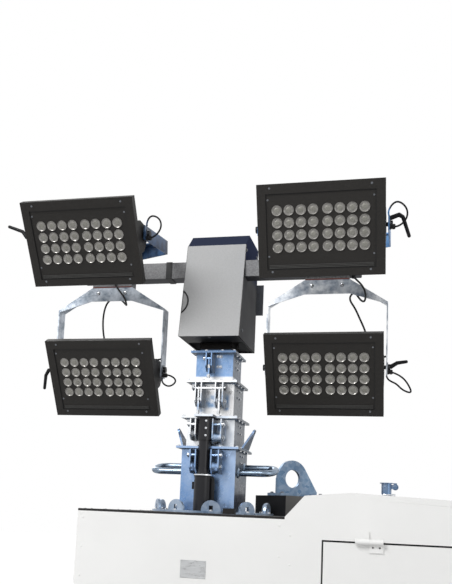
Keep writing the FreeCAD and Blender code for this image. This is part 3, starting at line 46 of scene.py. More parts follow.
# Camera. It stands low and looks up with a lens shift, in metres and degrees,
# fitted to the lamps and the body in the photograph.
IMAGE_HEIGHT = 584
CAMERA_PLACE = Vector((0.591, -3.161, 1.411))
CAMERA_YAW = 13.39
CAMERA_PITCH = 7.7
CAMERA_ROLL = 2.43
CAMERA_SHIFT = 0.2
CAMERA_FOCAL_PX = 755.9
SENSOR = 36.0

# Main places, from the frame
LAMP_PLACES = ["upper_left", "upper_right", "lower_left", "lower_right"]
AT_MAST = Matrix.Translation((JOINTS["mast_turn"]["pos_m"][0], 0, 0))
LAMP_TILT = {"upper_left": 32.6, "upper_right": 21.8, "lower_left": 30.4, "lower_right": 27.0}
YOKE_LEAN = {"upper_left": 82.0, "upper_right": 82.0, "lower_left": 0.0, "lower_right": 0.0}

X_DIR = Vector((1, 0, 0))
Y_DIR = Vector((0, 1, 0))
Z_DIR = Vector((0, 0, 1))
SHARP_ANGLE = math.radians(35)

MATERIALS = {}


# Shader helpers

class Shader:
    """A node material with a Principled shader and a few shorthand calls."""

    def __init__(self, name, roughness=0.5, metallic=0.0):
        self.material = MATERIALS[name] = bpy.data.materials.new(name)
        self.material.use_nodes = True
        self.tree = self.material.node_tree
        self.principled = self.tree.nodes["Principled BSDF"]
        self.set(Roughness=roughness, Metallic=metallic)
        coordinates = self.add("ShaderNodeTexCoord")
        self.place = coordinates.outputs["Object"]
        self.normal = coordinates.outputs["Normal"]

    def feed(self, socket, value):
        """Gives an input a value of its own or another node's output."""
        if isinstance(value, bpy.types.NodeSocket):
            self.tree.links.new(value, socket)
        else:
            socket.default_value = value

    def set(self, **values):
        for key, value in values.items():
            self.feed(self.principled.inputs[key.replace("_", " ")], value)

    def add(self, kind, inputs=(), **settings):
        """Makes a node from pairs of an input's name and its value."""
        node = self.tree.nodes.new(kind)
        for key, value in settings.items():
            setattr(node, key, value)
        for key, value in inputs:
            self.feed(node.inputs[key], value)
        return node

    def noise(self, scale, detail=3.0, stretch=(1, 1, 1), rough=0.55):
        mapping = self.add("ShaderNodeMapping", [("Scale", stretch), ("Vector", self.place)])
        node = self.add("ShaderNodeTexNoise", [
            ("Scale", scale), ("Detail", detail), ("Roughness", rough),
            ("Vector", mapping.outputs["Vector"])])
        return node.outputs["Fac"]

    def cells(self, scale):
        node = self.add("ShaderNodeTexVoronoi", [("Scale", scale), ("Vector", self.place)])
        return self.add("ShaderNodeSeparateColor", [("Color", node.outputs["Color"])]).outputs["Red"]

    def range(self, value, low, high, to_low=0.0, to_high=1.0):
        node = self.add("ShaderNodeMapRange", [
            ("From Min", low), ("From Max", high), ("To Min", to_low), ("To Max", to_high), ("Value", value)])
        return node.outputs["Result"]

    def mix(self, factor, first, second):
        colors = [(*value, 1.0) if isinstance(value, tuple) else value for value in (first, second)]
        inputs = zip(("Factor", "A", "B"), (factor, *colors))
        return self.add("ShaderNodeMix", inputs, data_type="RGBA").outputs["Result"]

    def part(self, vector, axis):
        return self.add("ShaderNodeSeparateXYZ", [(0, vector)]).outputs[axis]

    def sum(self, operation, first, second=0.0):
        return self.add("ShaderNodeMath", [(0, first), (1, second)], operation=operation).outputs[0]

    def blend(self, factor, low, high, name):
        """Drives one of the shader's inputs between two values."""
        self.set(**{name: self.range(factor, 0.0, 1.0, low, high)})

    def color(self, source):
        self.set(Base_Color=source)

    def bump(self, height, strength, distance=0.001):
        node = self.add("ShaderNodeBump", [
            ("Strength", strength), ("Distance", distance), ("Height", height)])
        self.set(Normal=node.outputs["Normal"])


def painted(name, base, rough=0.45, speck=0.15, coat=0.0, gloss=0.5):
    """Powder coat: fine orange peel, faint dust and a slow change of shade."""
    shader = Shader(name, roughness=rough)
    slow = shader.noise(3.0, 4.0)
    darker = tuple(c * (1 - speck) for c in base)
    lighter = tuple(min(1.0, c * (1 + speck)) for c in base)
    shader.color(shader.mix(shader.range(slow, 0.3, 0.7), darker, lighter))
    shader.set(Roughness=shader.range(slow, 0.2, 0.8, rough * 0.85, min(1.0, rough * 1.2)))
    shader.bump(shader.noise(900.0, 2.0), 0.12, 0.0004)
    shader.set(Coat_Weight=coat, Coat_Roughness=0.15, Specular_IOR_Level=gloss)


def galvanised(name, pale, deep, spangle=90.0):
    """Zinc: spangle cells, run streaks along Z and a bluish cast."""
    shader = Shader(name, metallic=0.75)
    slow = shader.noise(5.0, 4.0, stretch=(1, 1, 0.5))
    cells = shader.cells(spangle)
    shade = shader.mix(shader.range(slow, 0.35, 0.65), deep, pale)
    shader.color(shader.mix(shader.range(cells, 0.0, 1.0, 0.0, 0.16), shade, (0.86, 0.9, 0.95)))
    shader.blend(cells, 0.255, 0.442, "Roughness")
    shader.bump(cells, 0.06, 0.0003)


def mast_zinc_and_painted_light(name, front, front_deep, side, side_deep, painted_light_fades=(), painted_light_patches=(), foot=0.0, shown=0.0):
    """Zinc of the mast with painted light: bluer where it faces forward, a painted sky reflection,
    greyer and mottled at its sides.

    A fade is a tone taken on between two heights; a patch is a tone in a box
    of low X, high X, low Z and high Z on the front, with a ragged edge. The patches are
    painted sky reflection, the fades painted reflection and painted shadow. The sides are
    painted dark below the foot's height, a painted reflection of the housing. Below
    the shown height the section sits in the next one and is plain weathered zinc.
    """
    shader = Shader(name, roughness=0.3, metallic=0.8)
    cloud = shader.range(shader.noise(7.0, 5.0, stretch=(1, 1, 0.45)), 0.38, 0.62)
    mottle = shader.range(shader.noise(26.0, 6.0, stretch=(1, 1, 0.8)), 0.35, 0.7)
    # Painted sky reflection: faces turned to -Y take the bluer front tones, the sides the greyer ones
    forward = shader.range(shader.part(shader.normal, "Y"), -0.6, -0.5, 1.0, 0.0)
    facing = shader.mix(cloud, front_deep, front)
    across = shader.part(shader.place, "X")
    height = shader.part(shader.place, "Z")
    ragged = shader.range(shader.noise(40.0, 4.0), 0.35, 0.65, 0.2, 1.0)
    # Patches of painted sky reflection on the front
    for x0, x1, z0, z1, tone in painted_light_patches:
        inside = ragged
        for value, low, high in ((across, x0, x1), (height, z0, z1)):
            inside = shader.sum("MULTIPLY", inside, shader.range(value, low - 0.006, low + 0.006))
            inside = shader.sum("MULTIPLY", inside, shader.range(value, high - 0.006, high + 0.006, 1.0, 0.0))
        facing = shader.mix(inside, facing, tone)
    aside = shader.mix(mottle, side_deep, side)
    # Painted reflection of the dark housing on the sides below the foot
    aside = shader.mix(shader.range(height, foot - 0.05, foot + 0.05), (0.006, 0.008, 0.03), aside)
    cells = shader.cells(120.0)
    shade = shader.mix(forward, aside, facing)
    shade = shader.mix(shader.range(cells, 0.0, 1.0, 0.0, 0.1), shade, (0.86, 0.9, 0.95))
    # Fades of painted reflection and painted shadow between heights
    for z0, z1, tone, before, after in painted_light_fades:
        shade = shader.mix(shader.range(height, z0, z1, before, after), shade, tone)
    weathered = shader.mix(cloud, (0.17, 0.22, 0.3), (0.34, 0.39, 0.47))
    shader.color(shader.mix(shader.range(height, shown - 0.012, shown - 0.004), weathered, shade))
    shader.blend(mottle, 0.24, 0.42, "Roughness")
    shader.blend(forward, 0.3, 0.8, "Metallic")
    shader.blend(forward, 0.05, 0.5, "Specular IOR Level")
    shader.bump(cells, 0.05, 0.0003)


# Pale and deep tones of each yoke's zinc. The yokes are one zinc; their tones differ by painted light: navy and
# blue painted shade and sky reflection on the upper ones, paler painted light on the lower ones.
YOKE_TONES = {"upper_left": ((0.04, 0.1, 0.22), (0.012, 0.03, 0.07)),
              "upper_right": ((0.12, 0.27, 0.52), (0.06, 0.16, 0.34)),
              "lower_left": ((0.5, 0.54, 0.6), (0.13, 0.17, 0.22)),
              "lower_right": ((0.9, 0.93, 0.96), (0.22, 0.27, 0.35))}
YOKE_HALF_WIDTH = 0.2485


def yoke_strap(place):
    """Mottled zinc strap whose tones, which differ by lamp, carry painted light; the lever, glands and cable
    outside it are black.
    """
    shader = Shader("yoke_" + place, roughness=0.38)
    mottle = shader.range(shader.noise(22.0, 7.0), 0.36, 0.62)
    cells = shader.cells(110.0)
    pale, deep = YOKE_TONES[place]
    zinc = shader.mix(mottle, deep, pale)
    # The spangle is painted fainter on the upper yokes, as part of their painted shade.
    spangle = 0.04 if "upper" in place else 0.25
    zinc = shader.mix(shader.range(cells, 0.0, 1.0, 0.0, spangle), zinc, (0.75, 0.8, 0.86))
    centre = JOINTS["lamp_tilt_" + place]["pos_m"][0]
    offset = shader.sum("ABSOLUTE", shader.sum("SUBTRACT", shader.part(shader.place, "X"), centre))
    outside = shader.range(offset, YOKE_HALF_WIDTH - 0.0001, YOKE_HALF_WIDTH + 0.0001)
    shader.color(shader.mix(outside, zinc, (0.014, 0.014, 0.016)))
    shader.blend(outside, 0.7, 0.0, "Metallic")
    shader.blend(outside, 0.5, 0.1, "Specular IOR Level")
    shader.bump(cells, 0.05, 0.0003)


def housing_sheet():
    """Folded black sheet whose right-hand face is painted lighter, a painted lit face."""
    shader = Shader("housing_sheet", roughness=0.5)
    # Painted light: faces turned to +X are lighter
    right = shader.range(shader.part(shader.normal, "X"), 0.1, 0.3)
    shader.color(shader.mix(right, (0.022, 0.022, 0.024), (0.15, 0.147, 0.143)))
    shader.set(Specular_IOR_Level=0.05)
    shader.bump(shader.noise(600.0, 2.0), 0.1, 0.0003)


def bar_sheet():
    """Crossbar: satin grey in front, painted shade beneath, paler just right of the head."""
    shader = Shader("bar_zinc", roughness=0.5, metallic=0.2)
    grain = shader.noise(140.0, 4.0)
    along = shader.part(shader.place, "X")
    right = shader.range(along, -0.03, 0.02)
    pale = shader.mix(right, (0.19, 0.19, 0.195), (0.3, 0.3, 0.3))
    grey = shader.mix(shader.range(grain, 0.3, 0.7), (0.1, 0.1, 0.105), pale)
    # Painted shade: faces turned downward are near black
    front = shader.range(shader.part(shader.normal, "Z"), -0.5, -0.4)
    shader.color(shader.mix(front, (0.012, 0.013, 0.02), grey))
    shader.bump(grain, 0.08, 0.0004)


def head_sheet():
    """Cover with painted light by face: pale lit front, navy painted sky reflection on the bevel and top, darker
    painted shade on the sides.
    """
    shader = Shader("head_cover", roughness=0.45)
    forward = shader.range(shader.part(shader.normal, "Y"), -0.95, -0.9, 1.0, 0.0)
    upward = shader.range(shader.part(shader.normal, "Z"), 0.3, 0.4)
    grain = shader.noise(160.0, 4.0)
    slow = shader.noise(4.0, 3.0)
    pale = shader.mix(shader.range(grain, 0.3, 0.7), (0.35, 0.353, 0.355), (0.4, 0.402, 0.405))
    # Painted shade on the sides
    dark = shader.mix(shader.range(slow, 0.35, 0.65), (0.14, 0.14, 0.142), (0.18, 0.18, 0.183))
    height = shader.part(shader.place, "Z")
    # Navy painted sky reflection high on the sides
    dark = shader.mix(shader.range(height, 2.41, 2.46), dark, (0.05, 0.06, 0.11))
    # Near-black painted shade on the underside
    dark = shader.mix(shader.range(shader.part(shader.normal, "Z"), -0.6, -0.5), (0.03, 0.029, 0.028), dark)
    # Navy painted sky reflection on the bevel and top
    sides = shader.mix(upward, dark, (0.03, 0.037, 0.065))
    # Painted light: the lit front is pale
    shader.color(shader.mix(forward, sides, pale))
    shader.set(Roughness=shader.range(grain, 0.3, 0.7, 0.5, 0.65))
    shader.blend(forward, 0.0, 0.5, "Specular IOR Level")
    shader.bump(grain, 0.08, 0.0004)


def lamp_face():
    """Black anodised casting with a coarse grain and the odd pale pore."""
    shader = Shader("lamp_black", roughness=0.5)
    grain = shader.noise(420.0, 5.0, rough=0.7)
    pores = shader.range(shader.noise(260.0, 2.0), 0.70, 0.76)
    base = shader.mix(shader.range(grain, 0.35, 0.7), (0.012, 0.011, 0.01), (0.03, 0.028, 0.026))
    shader.color(shader.mix(shader.range(pores, 0.0, 1.0, 0.0, 0.5), base, (0.09, 0.085, 0.08)))
    shader.set(Roughness=shader.range(grain, 0.3, 0.7, 0.42, 0.62))
    shader.set(Specular_IOR_Level=0.22)
    shader.bump(grain, 0.15, 0.0004)


def plain(name, base, rough=0.5, metallic=0.0):
    """One colour with a faint change of shade."""
    shader = Shader(name, roughness=rough, metallic=metallic)
    slow = shader.noise(8.0, 3.0)
    darker = tuple(c * 0.88 for c in base)
    shader.color(shader.mix(shader.range(slow, 0.35, 0.65), darker, base))


def polished(name, base, rough):
    shader = Shader(name, roughness=rough, metallic=1.0)
    scratches = shader.noise(60.0, 3.0, stretch=(1, 1, 8))
    shader.color(shader.mix(shader.range(scratches, 0.3, 0.7), tuple(c * 0.85 for c in base), base))
    shader.set(Roughness=shader.range(scratches, 0.3, 0.7, rough * 0.7, rough * 1.8))


def moulded(name, base, rough=0.5):
    """Moulded plastic or rubber with a fine grain."""
    shader = Shader(name, roughness=rough)
    slow = shader.noise(6.0, 3.0)
    shader.color(shader.mix(shader.range(slow, 0.3, 0.7), tuple(c * 0.9 for c in base), base))
    grain = shader.noise(500.0, 2.0)
    shader.set(Specular_IOR_Level=0.25)
    shader.set(Roughness=shader.range(grain, 0.3, 0.7, rough * 0.85, min(1.0, rough * 1.15)))
    shader.bump(grain, 0.2, 0.0003)


def make_materials():
    painted("frame_black", (0.022, 0.021, 0.021), rough=0.42, gloss=0.2)
    housing_sheet()
    painted("canopy_white", (0.82, 0.82, 0.81), rough=0.42, speck=0.02)
    painted("engine_grey", (0.06, 0.06, 0.065), rough=0.6)
    galvanised("exhaust_steel", (0.13, 0.22, 0.36), (0.07, 0.12, 0.22))
    galvanised("tab_zinc", (0.4, 0.5, 0.64), (0.12, 0.19, 0.3), spangle=60.0)
    galvanised("zinc_steel", (0.13, 0.22, 0.34), (0.06, 0.11, 0.19), spangle=60.0)
    # Mast zinc with painted light: bluer painted sky reflection on the front, greyer sides, a dark painted
    # reflection of the housing low on the sides
    mast_zinc_and_painted_light("zinc_mast", (0.4, 0.54, 0.78), (0.19, 0.34, 0.62),
              (0.15, 0.18, 0.22), (0.045, 0.065, 0.1), foot=1.5)
    # Second section: pale painted reflection on the front, with a patch of blue painted sky reflection by the
    # hangers
    mast_zinc_and_painted_light("zinc_bright", (0.93, 0.95, 0.97), (0.5, 0.62, 0.8),
              (0.28, 0.3, 0.32), (0.1, 0.12, 0.16),
              painted_light_patches=[(-0.19, -0.135, 1.69, 1.77, (0.2, 0.36, 0.6))], shown=1.673)
    # Third section: white painted reflection on the front, with patches of blue painted sky reflection by the
    # hangers
    mast_zinc_and_painted_light("zinc_white", (0.98, 0.98, 0.98), (0.8, 0.86, 0.93),
              (0.34, 0.36, 0.38), (0.13, 0.15, 0.18),
              painted_light_patches=[(-0.232, -0.172, 1.84, 1.895, (0.24, 0.4, 0.64)),
                       (-0.15, -0.128, 1.83, 1.9, (0.2, 0.34, 0.56)),
                       (-0.255, -0.232, 1.82, 1.86, (0.2, 0.34, 0.56))], shown=1.801)
    # Fourth section: blue painted sky reflection, turning to a pale painted reflection below 1.972 m
    mast_zinc_and_painted_light("zinc_blue", (0.26, 0.42, 0.7), (0.14, 0.26, 0.48),
              (0.24, 0.28, 0.34), (0.08, 0.11, 0.16),
              painted_light_fades=[(1.972, 1.98, (0.95, 0.96, 0.98), 1.0, 0.0)], shown=1.955)
    # Fifth section: blue painted sky reflection, with painted shadow under the head above 2.09 m
    mast_zinc_and_painted_light("zinc_dark", (0.26, 0.42, 0.7), (0.14, 0.26, 0.48),
              (0.24, 0.28, 0.34), (0.08, 0.11, 0.16),
              painted_light_fades=[(2.09, 2.1, (0.02, 0.018, 0.017), 0.0, 1.0)], shown=2.084)
    bar_sheet()
    galvanised("jack_zinc", (0.5, 0.54, 0.6), (0.3, 0.34, 0.4))
    moulded("fender_black", (0.02, 0.02, 0.021))
    polished("handle_chrome", (0.26, 0.33, 0.42), rough=0.26)
    painted("rod_chrome", (0.02, 0.02, 0.023), rough=0.25, coat=0.1, gloss=0.2)
    painted("cylinder_black", (0.018, 0.018, 0.021), rough=0.3, coat=0.1, gloss=0.2)
    head_sheet()
    lamp_face()
    polished("lens", (0.31, 0.3, 0.285), rough=0.32)
    plain("lens_core", (0.25, 0.245, 0.22), rough=0.45, metallic=0.5)
    painted("rim_white", (0.62, 0.62, 0.62), rough=0.4)
    moulded("tyre", (0.018, 0.018, 0.018), rough=0.75)
    moulded("rubber", (0.012, 0.012, 0.013), rough=0.45)
    polished("bolt", (0.78, 0.8, 0.83), rough=0.2)
    polished("bolt_dark", (0.2, 0.21, 0.23), rough=0.35)
    plain("rust", (0.13, 0.035, 0.03), rough=0.7)
    plain("red_glass", (0.42, 0.012, 0.012), rough=0.15)
    plain("amber_glass", (0.75, 0.22, 0.02), rough=0.15)
    plain("pale_glass", (0.7, 0.7, 0.7), rough=0.1)
    plain("rib_grey", (0.05, 0.05, 0.048), rough=0.5)
    polished("plate", (0.6, 0.61, 0.62), rough=0.35)
    plain("lid_blue", (0.02, 0.09, 0.4), rough=0.4)
    painted("panel_grey", (0.3, 0.3, 0.31))
    plain("pale_tank", (0.42, 0.4, 0.34), rough=0.5)
    polished("brass", (0.6, 0.42, 0.18), rough=0.3)
    plain("signal_red", (0.5, 0.02, 0.02), rough=0.4)
    for place in LAMP_PLACES:
        yoke_strap(place)


# Nodes whose material differs from their slot's own one: copies of the mast zinc with painted light for the upper
# sections, the housing's sheet with its painted lit face, and the turntable's zinc
FINISHES_AND_PAINTED_LIGHT = {"mast_section_2": "zinc_bright", "mast_section_3": "zinc_white", "mast_section_4": "zinc_blue",
            "mast_section_5": "zinc_dark", "lift_frame": "housing_sheet", "turntable": "tab_zinc"}


def dress_nodes():
    for subpart in frame["record"]["subparts"]:
        node = subpart["node"]
        chosen_material = node if node.startswith("yoke_") else FINISHES_AND_PAINTED_LIGHT.get(node, subpart["material_slot"])
        materials = NODES[node].data.materials
        materials.clear()
        materials.append(MATERIALS[chosen_material])


# Camera, light and floor

def make_camera():
    data = bpy.data.cameras.new("camera")
    data.sensor_width = SENSOR
    data.lens = CAMERA_FOCAL_PX / IMAGE_HEIGHT * SENSOR
    data.shift_y = CAMERA_SHIFT
    camera = bpy.data.objects.new("camera", data)
    bpy.context.scene.collection.objects.link(camera)
    turn = Matrix.Rotation(math.radians(CAMERA_YAW), 4, "Z")
    raise_up = Matrix.Rotation(math.radians(90 + CAMERA_PITCH), 4, "X")
    roll = Matrix.Rotation(math.radians(CAMERA_ROLL), 4, "Z")
    camera.matrix_world = Matrix.Translation(CAMERA_PLACE) @ turn @ raise_up @ roll
    bpy.context.scene.camera = camera
    bpy.context.scene.view_settings.view_transform = "Standard"


WORLD_LIGHT = 0.45
LIGHT_AIM = Vector((0.0, 0.0, 1.6))

# Area lamps: name, place, size in metres and power in watts
LIGHTS = [("key", (-2.6, -4.2, 5.4), 2.2, 245), ("fill", (4.5, -3.0, 3.0), 3.0, 48),
          ("rim", (-3.5, 3.6, 4.2), 2.5, 90)]


def make_world():
    """White for rays from the camera and off or through surfaces, dimmer as a light."""
    world = bpy.data.worlds.new("world")
    bpy.context.scene.world = world
    world.use_nodes = True
    nodes, links = world.node_tree.nodes, world.node_tree.links
    background = nodes["Background"]
    background.inputs["Color"].default_value = (1.0, 1.0, 1.0, 1.0)
    path = nodes.new("ShaderNodeLightPath")
    seen = path.outputs["Is Camera Ray"]
    for ray in ("Is Glossy Ray", "Is Transmission Ray"):
        either = nodes.new("ShaderNodeMath")
        either.operation = "MAXIMUM"
        links.new(seen, either.inputs[0])
        links.new(path.outputs[ray], either.inputs[1])
        seen = either.outputs[0]
    strength = nodes.new("ShaderNodeMapRange")
    strength.inputs["To Min"].default_value = WORLD_LIGHT
    strength.inputs["To Max"].default_value = 1.0
    links.new(seen, strength.inputs["Value"])
    links.new(strength.outputs["Result"], background.inputs["Strength"])


def make_lights():
    for name, place, size, power in LIGHTS:
        data = bpy.data.lights.new(name, "AREA")
        data.size = size
        data.energy = power
        light = bpy.data.objects.new(name, data)
        light.location = place
        light.rotation_euler = (LIGHT_AIM - Vector(place)).to_track_quat("-Z", "Y").to_euler()
        bpy.context.scene.collection.objects.link(light)


FLOOR_HALF = 30.0
FLOOR_LIFT = 0.62


def make_floor():
    """Pale ground, lifted to white where the camera sees it."""
    mesh = bpy.data.meshes.new("floor")
    corners = [(x * FLOOR_HALF, y * FLOOR_HALF, 0) for x, y in ((-1, -1), (1, -1), (1, 1), (-1, 1))]
    mesh.from_pydata(corners, [], [(0, 1, 2, 3)])
    floor = bpy.data.objects.new("floor", mesh)
    bpy.context.scene.collection.objects.link(floor)
    shader = Shader("floor", roughness=0.9)
    dust = shader.noise(2.0, 4.0)
    shader.color(shader.mix(shader.range(dust, 0.3, 0.7), (0.78, 0.78, 0.78), (0.84, 0.84, 0.84)))
    shader.set(Emission_Color=(1.0, 1.0, 1.0, 1.0))
    seen = shader.add("ShaderNodeLightPath").outputs["Is Camera Ray"]
    shader.blend(seen, 0.0, FLOOR_LIFT, "Emission Strength")
    mesh.materials.append(shader.material)


# Mesh helpers. Tables are in millimetres, meshes and radii in metres.

def mm(x, y, z):
    return Vector((x, y, z)) * 0.001


def skin(form, rings):
    """Faces between neighbouring rings of points; a ring of one point closes an end."""
    for lower, upper in zip(rings, rings[1:]):
        count = max(len(lower), len(upper))
        for index in range(count):
            after = (index + 1) % count
            corners = [lower[index % len(lower)], lower[after % len(lower)],
                       upper[after % len(upper)], upper[index % len(upper)]]
            form.faces.new(dict.fromkeys(corners))


def lathe(form, profile, segments, matrix):
    """Turns a list of (radius, height) about the matrix's Z; a zero radius closes the end."""
    rings = []
    for radius, height in profile:
        if radius == 0:
            rings.append([form.verts.new(matrix @ Vector((0, 0, height)))])
            continue
        ring = []
        for index in range(segments):
            angle = 2 * math.pi * index / segments
            place = Vector((radius * math.cos(angle), radius * math.sin(angle), height))
            ring.append(form.verts.new(matrix @ place))
        rings.append(ring)
    skin(form, rings)


def toward(direction, place):
    """Matrix that stands a shape's Z along a direction at a place."""
    return Matrix.Translation(place) @ direction.to_track_quat("Z", "Y").to_matrix().to_4x4()


def rod(form, start, end, radius, segments=16, edge=0.0):
    length = (end - start).length
    profile = [(0, 0), (radius - edge, 0), (radius, edge), (radius, length - edge),
               (radius - edge, length), (0, length)]
    if not edge:
        profile = [(0, 0), (radius, 0), (radius, length), (0, length)]
    lathe(form, profile, segments, toward(end - start, start))


def block(form, low, high, edge=0.0, matrix=None):
    made = bmesh.ops.create_cube(form, size=1.0)["verts"]
    size = high - low
    middle = (low + high) / 2
    for vertex in made:
        vertex.co = Vector((vertex.co.x * size.x, vertex.co.y * size.y, vertex.co.z * size.z)) + middle
    if edge:
        edges = list({edge_found for vertex in made for edge_found in vertex.link_edges})
        bevelled = bmesh.ops.bevel(form, geom=edges, offset=edge, segments=1, affect="EDGES")
        made = list({vertex for face in bevelled["faces"] for vertex in face.verts})
    if matrix:
        for vertex in made:
            vertex.co = matrix @ vertex.co


def slab(form, outline, thickness):
    """Extrudes a list of points by a vector."""
    near = [form.verts.new(point) for point in outline]
    far = [form.verts.new(point + thickness) for point in outline]
    form.faces.new(near)
    form.faces.new(list(reversed(far)))
    for index in range(len(outline)):
        after = (index + 1) % len(outline)
        form.faces.new([near[after], near[index], far[index], far[after]])


def bolt(form, place, direction, radius, height):
    """Hexagon head on a washer, with a domed top."""
    stand = toward(direction, place)
    lathe(form, [(0, 0), (radius * 1.5, 0), (radius * 1.5, height * 0.25), (0, height * 0.25)], 18, stand)
    lathe(form, [(radius, height * 0.25), (radius, height * 0.9), (radius * 0.8, height), (0, height)],
          6, stand)


def bolts(form, rows, direction, radius, height, matrix=Matrix.Identity(4)):
    """Bolts from rows of X, Y, Z, their rows and direction in the matrix's axes."""
    turned = matrix.to_3x3() @ direction
    for row in rows:
        bolt(form, matrix @ mm(*row), turned, radius, height)


def rivets(form, rows, direction):
    for row in rows:
        lathe(form, [(0.004, 0), (0.003, 0.0012), (0, 0.0015)], 10, toward(direction, mm(*row)))


def curve_points(points, steps):
    """A smooth run through the points."""
    ends = [points[0] * 2 - points[1]] + points + [points[-1] * 2 - points[-2]]
    run = []
    for before, start, end, after in zip(ends, ends[1:], ends[2:], ends[3:]):
        for step in range(steps):
            t = step / steps
            run.append(0.5 * ((2 * start) + (end - before) * t
                              + (2 * before - 5 * start + 4 * end - after) * t * t
                              + (3 * start - before - 3 * end + after) * t * t * t))
    return run + [points[-1]]


def hose(form, points, radius, segments=10, steps=6):
    """Round hose on a smooth run through the points, capped at both ends."""
    run = curve_points(points, steps)
    side = (run[1] - run[0]).orthogonal().normalized()
    rings = []
    for index, place in enumerate(run):
        along = (run[min(index + 1, len(run) - 1)] - run[max(index - 1, 0)]).normalized()
        side = (side - along * side.dot(along)).normalized()
        other = along.cross(side)
        rings.append([form.verts.new(place + (side * math.cos(a) + other * math.sin(a)) * radius)
                      for a in (2 * math.pi * k / segments for k in range(segments))])
    skin(form, rings)
    form.faces.new(list(reversed(rings[0])))
    form.faces.new(rings[-1])


def ring(form, centre, direction, radius, tube, segments, sides):
    """A round hoop that lies across a direction."""
    stand = toward(direction, centre)
    rows = []
    for index in range(segments):
        turn = 2 * math.pi * index / segments
        out = Vector((math.cos(turn), math.sin(turn), 0))
        places = [out * (radius + tube * math.cos(a)) + Z_DIR * tube * math.sin(a)
                  for a in (2 * math.pi * k / sides for k in range(sides))]
        rows.append([form.verts.new(stand @ place) for place in places])
    skin(form, rows[:1] + rows[::-1])


def blocks(form, rows, edge=0.0, matrix=None):
    """Boxes from rows of low X, high X, low Y, high Y, low Z, high Z."""
    for x0, x1, y0, y1, z0, z1 in rows:
        block(form, mm(x0, y0, z0), mm(x1, y1, z1), edge, matrix)


def rods(form, rows, edge=0.0006):
    """Round bars from rows of start X, Y, Z, end X, Y, Z and radius."""
    for x0, y0, z0, x1, y1, z1, radius in rows:
        rod(form, mm(x0, y0, z0), mm(x1, y1, z1), radius * 0.001, 24, edge)


def hoses(form, runs, radius):
    for run in runs:
        hose(form, [mm(*point) for point in run], radius)


def mirror(form, keep):
    """Mirrors the form to the far side; keep leaves the near one in place too."""
    made = form.verts[:] + form.edges[:] + form.faces[:]
    if keep:
        made = bmesh.ops.duplicate(form, geom=made)["geom"]
    for item in made:
        if isinstance(item, bmesh.types.BMVert):
            item.co.y = -item.co.y
    bmesh.ops.reverse_faces(form, faces=[item for item in made if isinstance(item, bmesh.types.BMFace)])


BOTH = (mirror, True)
FAR = (mirror, False)
SIDES = (("near", ()), ("far", (FAR,)))


def make(words, *steps):
    """Makes a piece. The words are its name and material, then its body where it isn't the chassis,
    and its slot where it isn't the material's usual one; the slot is not used. Each step is a helper
    and what the helper takes after the form."""
    name, material, *others = words.split()
    body = others[0] if others else "chassis"
    form = bmesh.new()
    for helper, *arguments in steps:
        helper(form, *arguments)
    mesh = bpy.data.meshes.new(name)
    form.to_mesh(mesh)
    form.free()
    mesh.materials.append(MATERIALS[material])
    for face in mesh.polygons:
        face.use_smooth = True
    mesh.set_sharp_from_angle(angle=SHARP_ANGLE)
    obj = bpy.data.objects.new(name, mesh)
    bpy.context.scene.collection.objects.link(obj)
    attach(obj, body)
    return obj


def spread(low, high, count):
    return [low + (high - low) * index / (count - 1) for index in range(count)]


def circle(radius, height, count, start=0.0):
    """Rows of X, Y, Z round the Z axis, the first at the start angle in degrees."""
    turns = [math.radians(start + 360 * index / count) for index in range(count)]
    return [(radius * math.cos(turn), radius * math.sin(turn), height) for turn in turns]


# Lamps

LENS_COLUMNS = 8
LENS_ROWS = 4
LENS_PITCH = 0.045
LENS_CENTRE_GAP = 0.008
LENS_RADIUS = 0.0194
LENS_PROUD = 0.003
HINGE_BEHIND_LENS = 0.090
BORDER_FRONT = -94
PANEL_FRONT = -90
GASKET_PROUD = 1.2
BORDER_SCREWS = [(-187, 148), (187, 148), (-183, -157), (183, -157)]
PANEL_SCREWS = [(-195, 107), (195, 107), (-195, -100), (195, -100)]

# Profiles as shares of the lens's radius and height: the concave silvered cup
# with its raised rim, and the darker emitter under a low dome in its middle
CUP_PROFILE = [(1, 0), (1, 1), (0.93, 1), (0.84, 0.45), (0.62, 0.24), (0.5, 0.2)]
CORE_PROFILE = [(0.54, 0.16), (0.5, 0.34), (0.3, 0.52), (0, 0.6)]

# Y and Z of the cable's gland from the hinge
GLANDS = {"upper_left": (-20, -12), "upper_right": (-20, -9), "lower_left": (-22, -17),
          "lower_right": (-19, -14)}


def hinge_matrix(place, degrees):
    """From axes at the lamp's hinge, facing -Y, to the frame."""
    hinge = Vector(JOINTS["lamp_tilt_" + place]["pos_m"])
    return Matrix.Translation(hinge) @ Matrix.Rotation(math.radians(degrees), 4, "X")


def lenses(form, matrix, profile, segments):
    profile = [(LENS_RADIUS * radius, LENS_PROUD * height) for radius, height in profile]
    upright = Matrix.Rotation(math.pi / 2, 4, "X")
    for column in range(LENS_COLUMNS):
        offset = column - (LENS_COLUMNS - 1) / 2
        x = offset * LENS_PITCH + math.copysign(LENS_CENTRE_GAP / 2, offset)
        for row in range(LENS_ROWS):
            z = (row - (LENS_ROWS - 1) / 2) * LENS_PITCH
            stand = matrix @ Matrix.Translation((x, -HINGE_BEHIND_LENS, z)) @ upright
            lathe(form, profile, segments, stand)


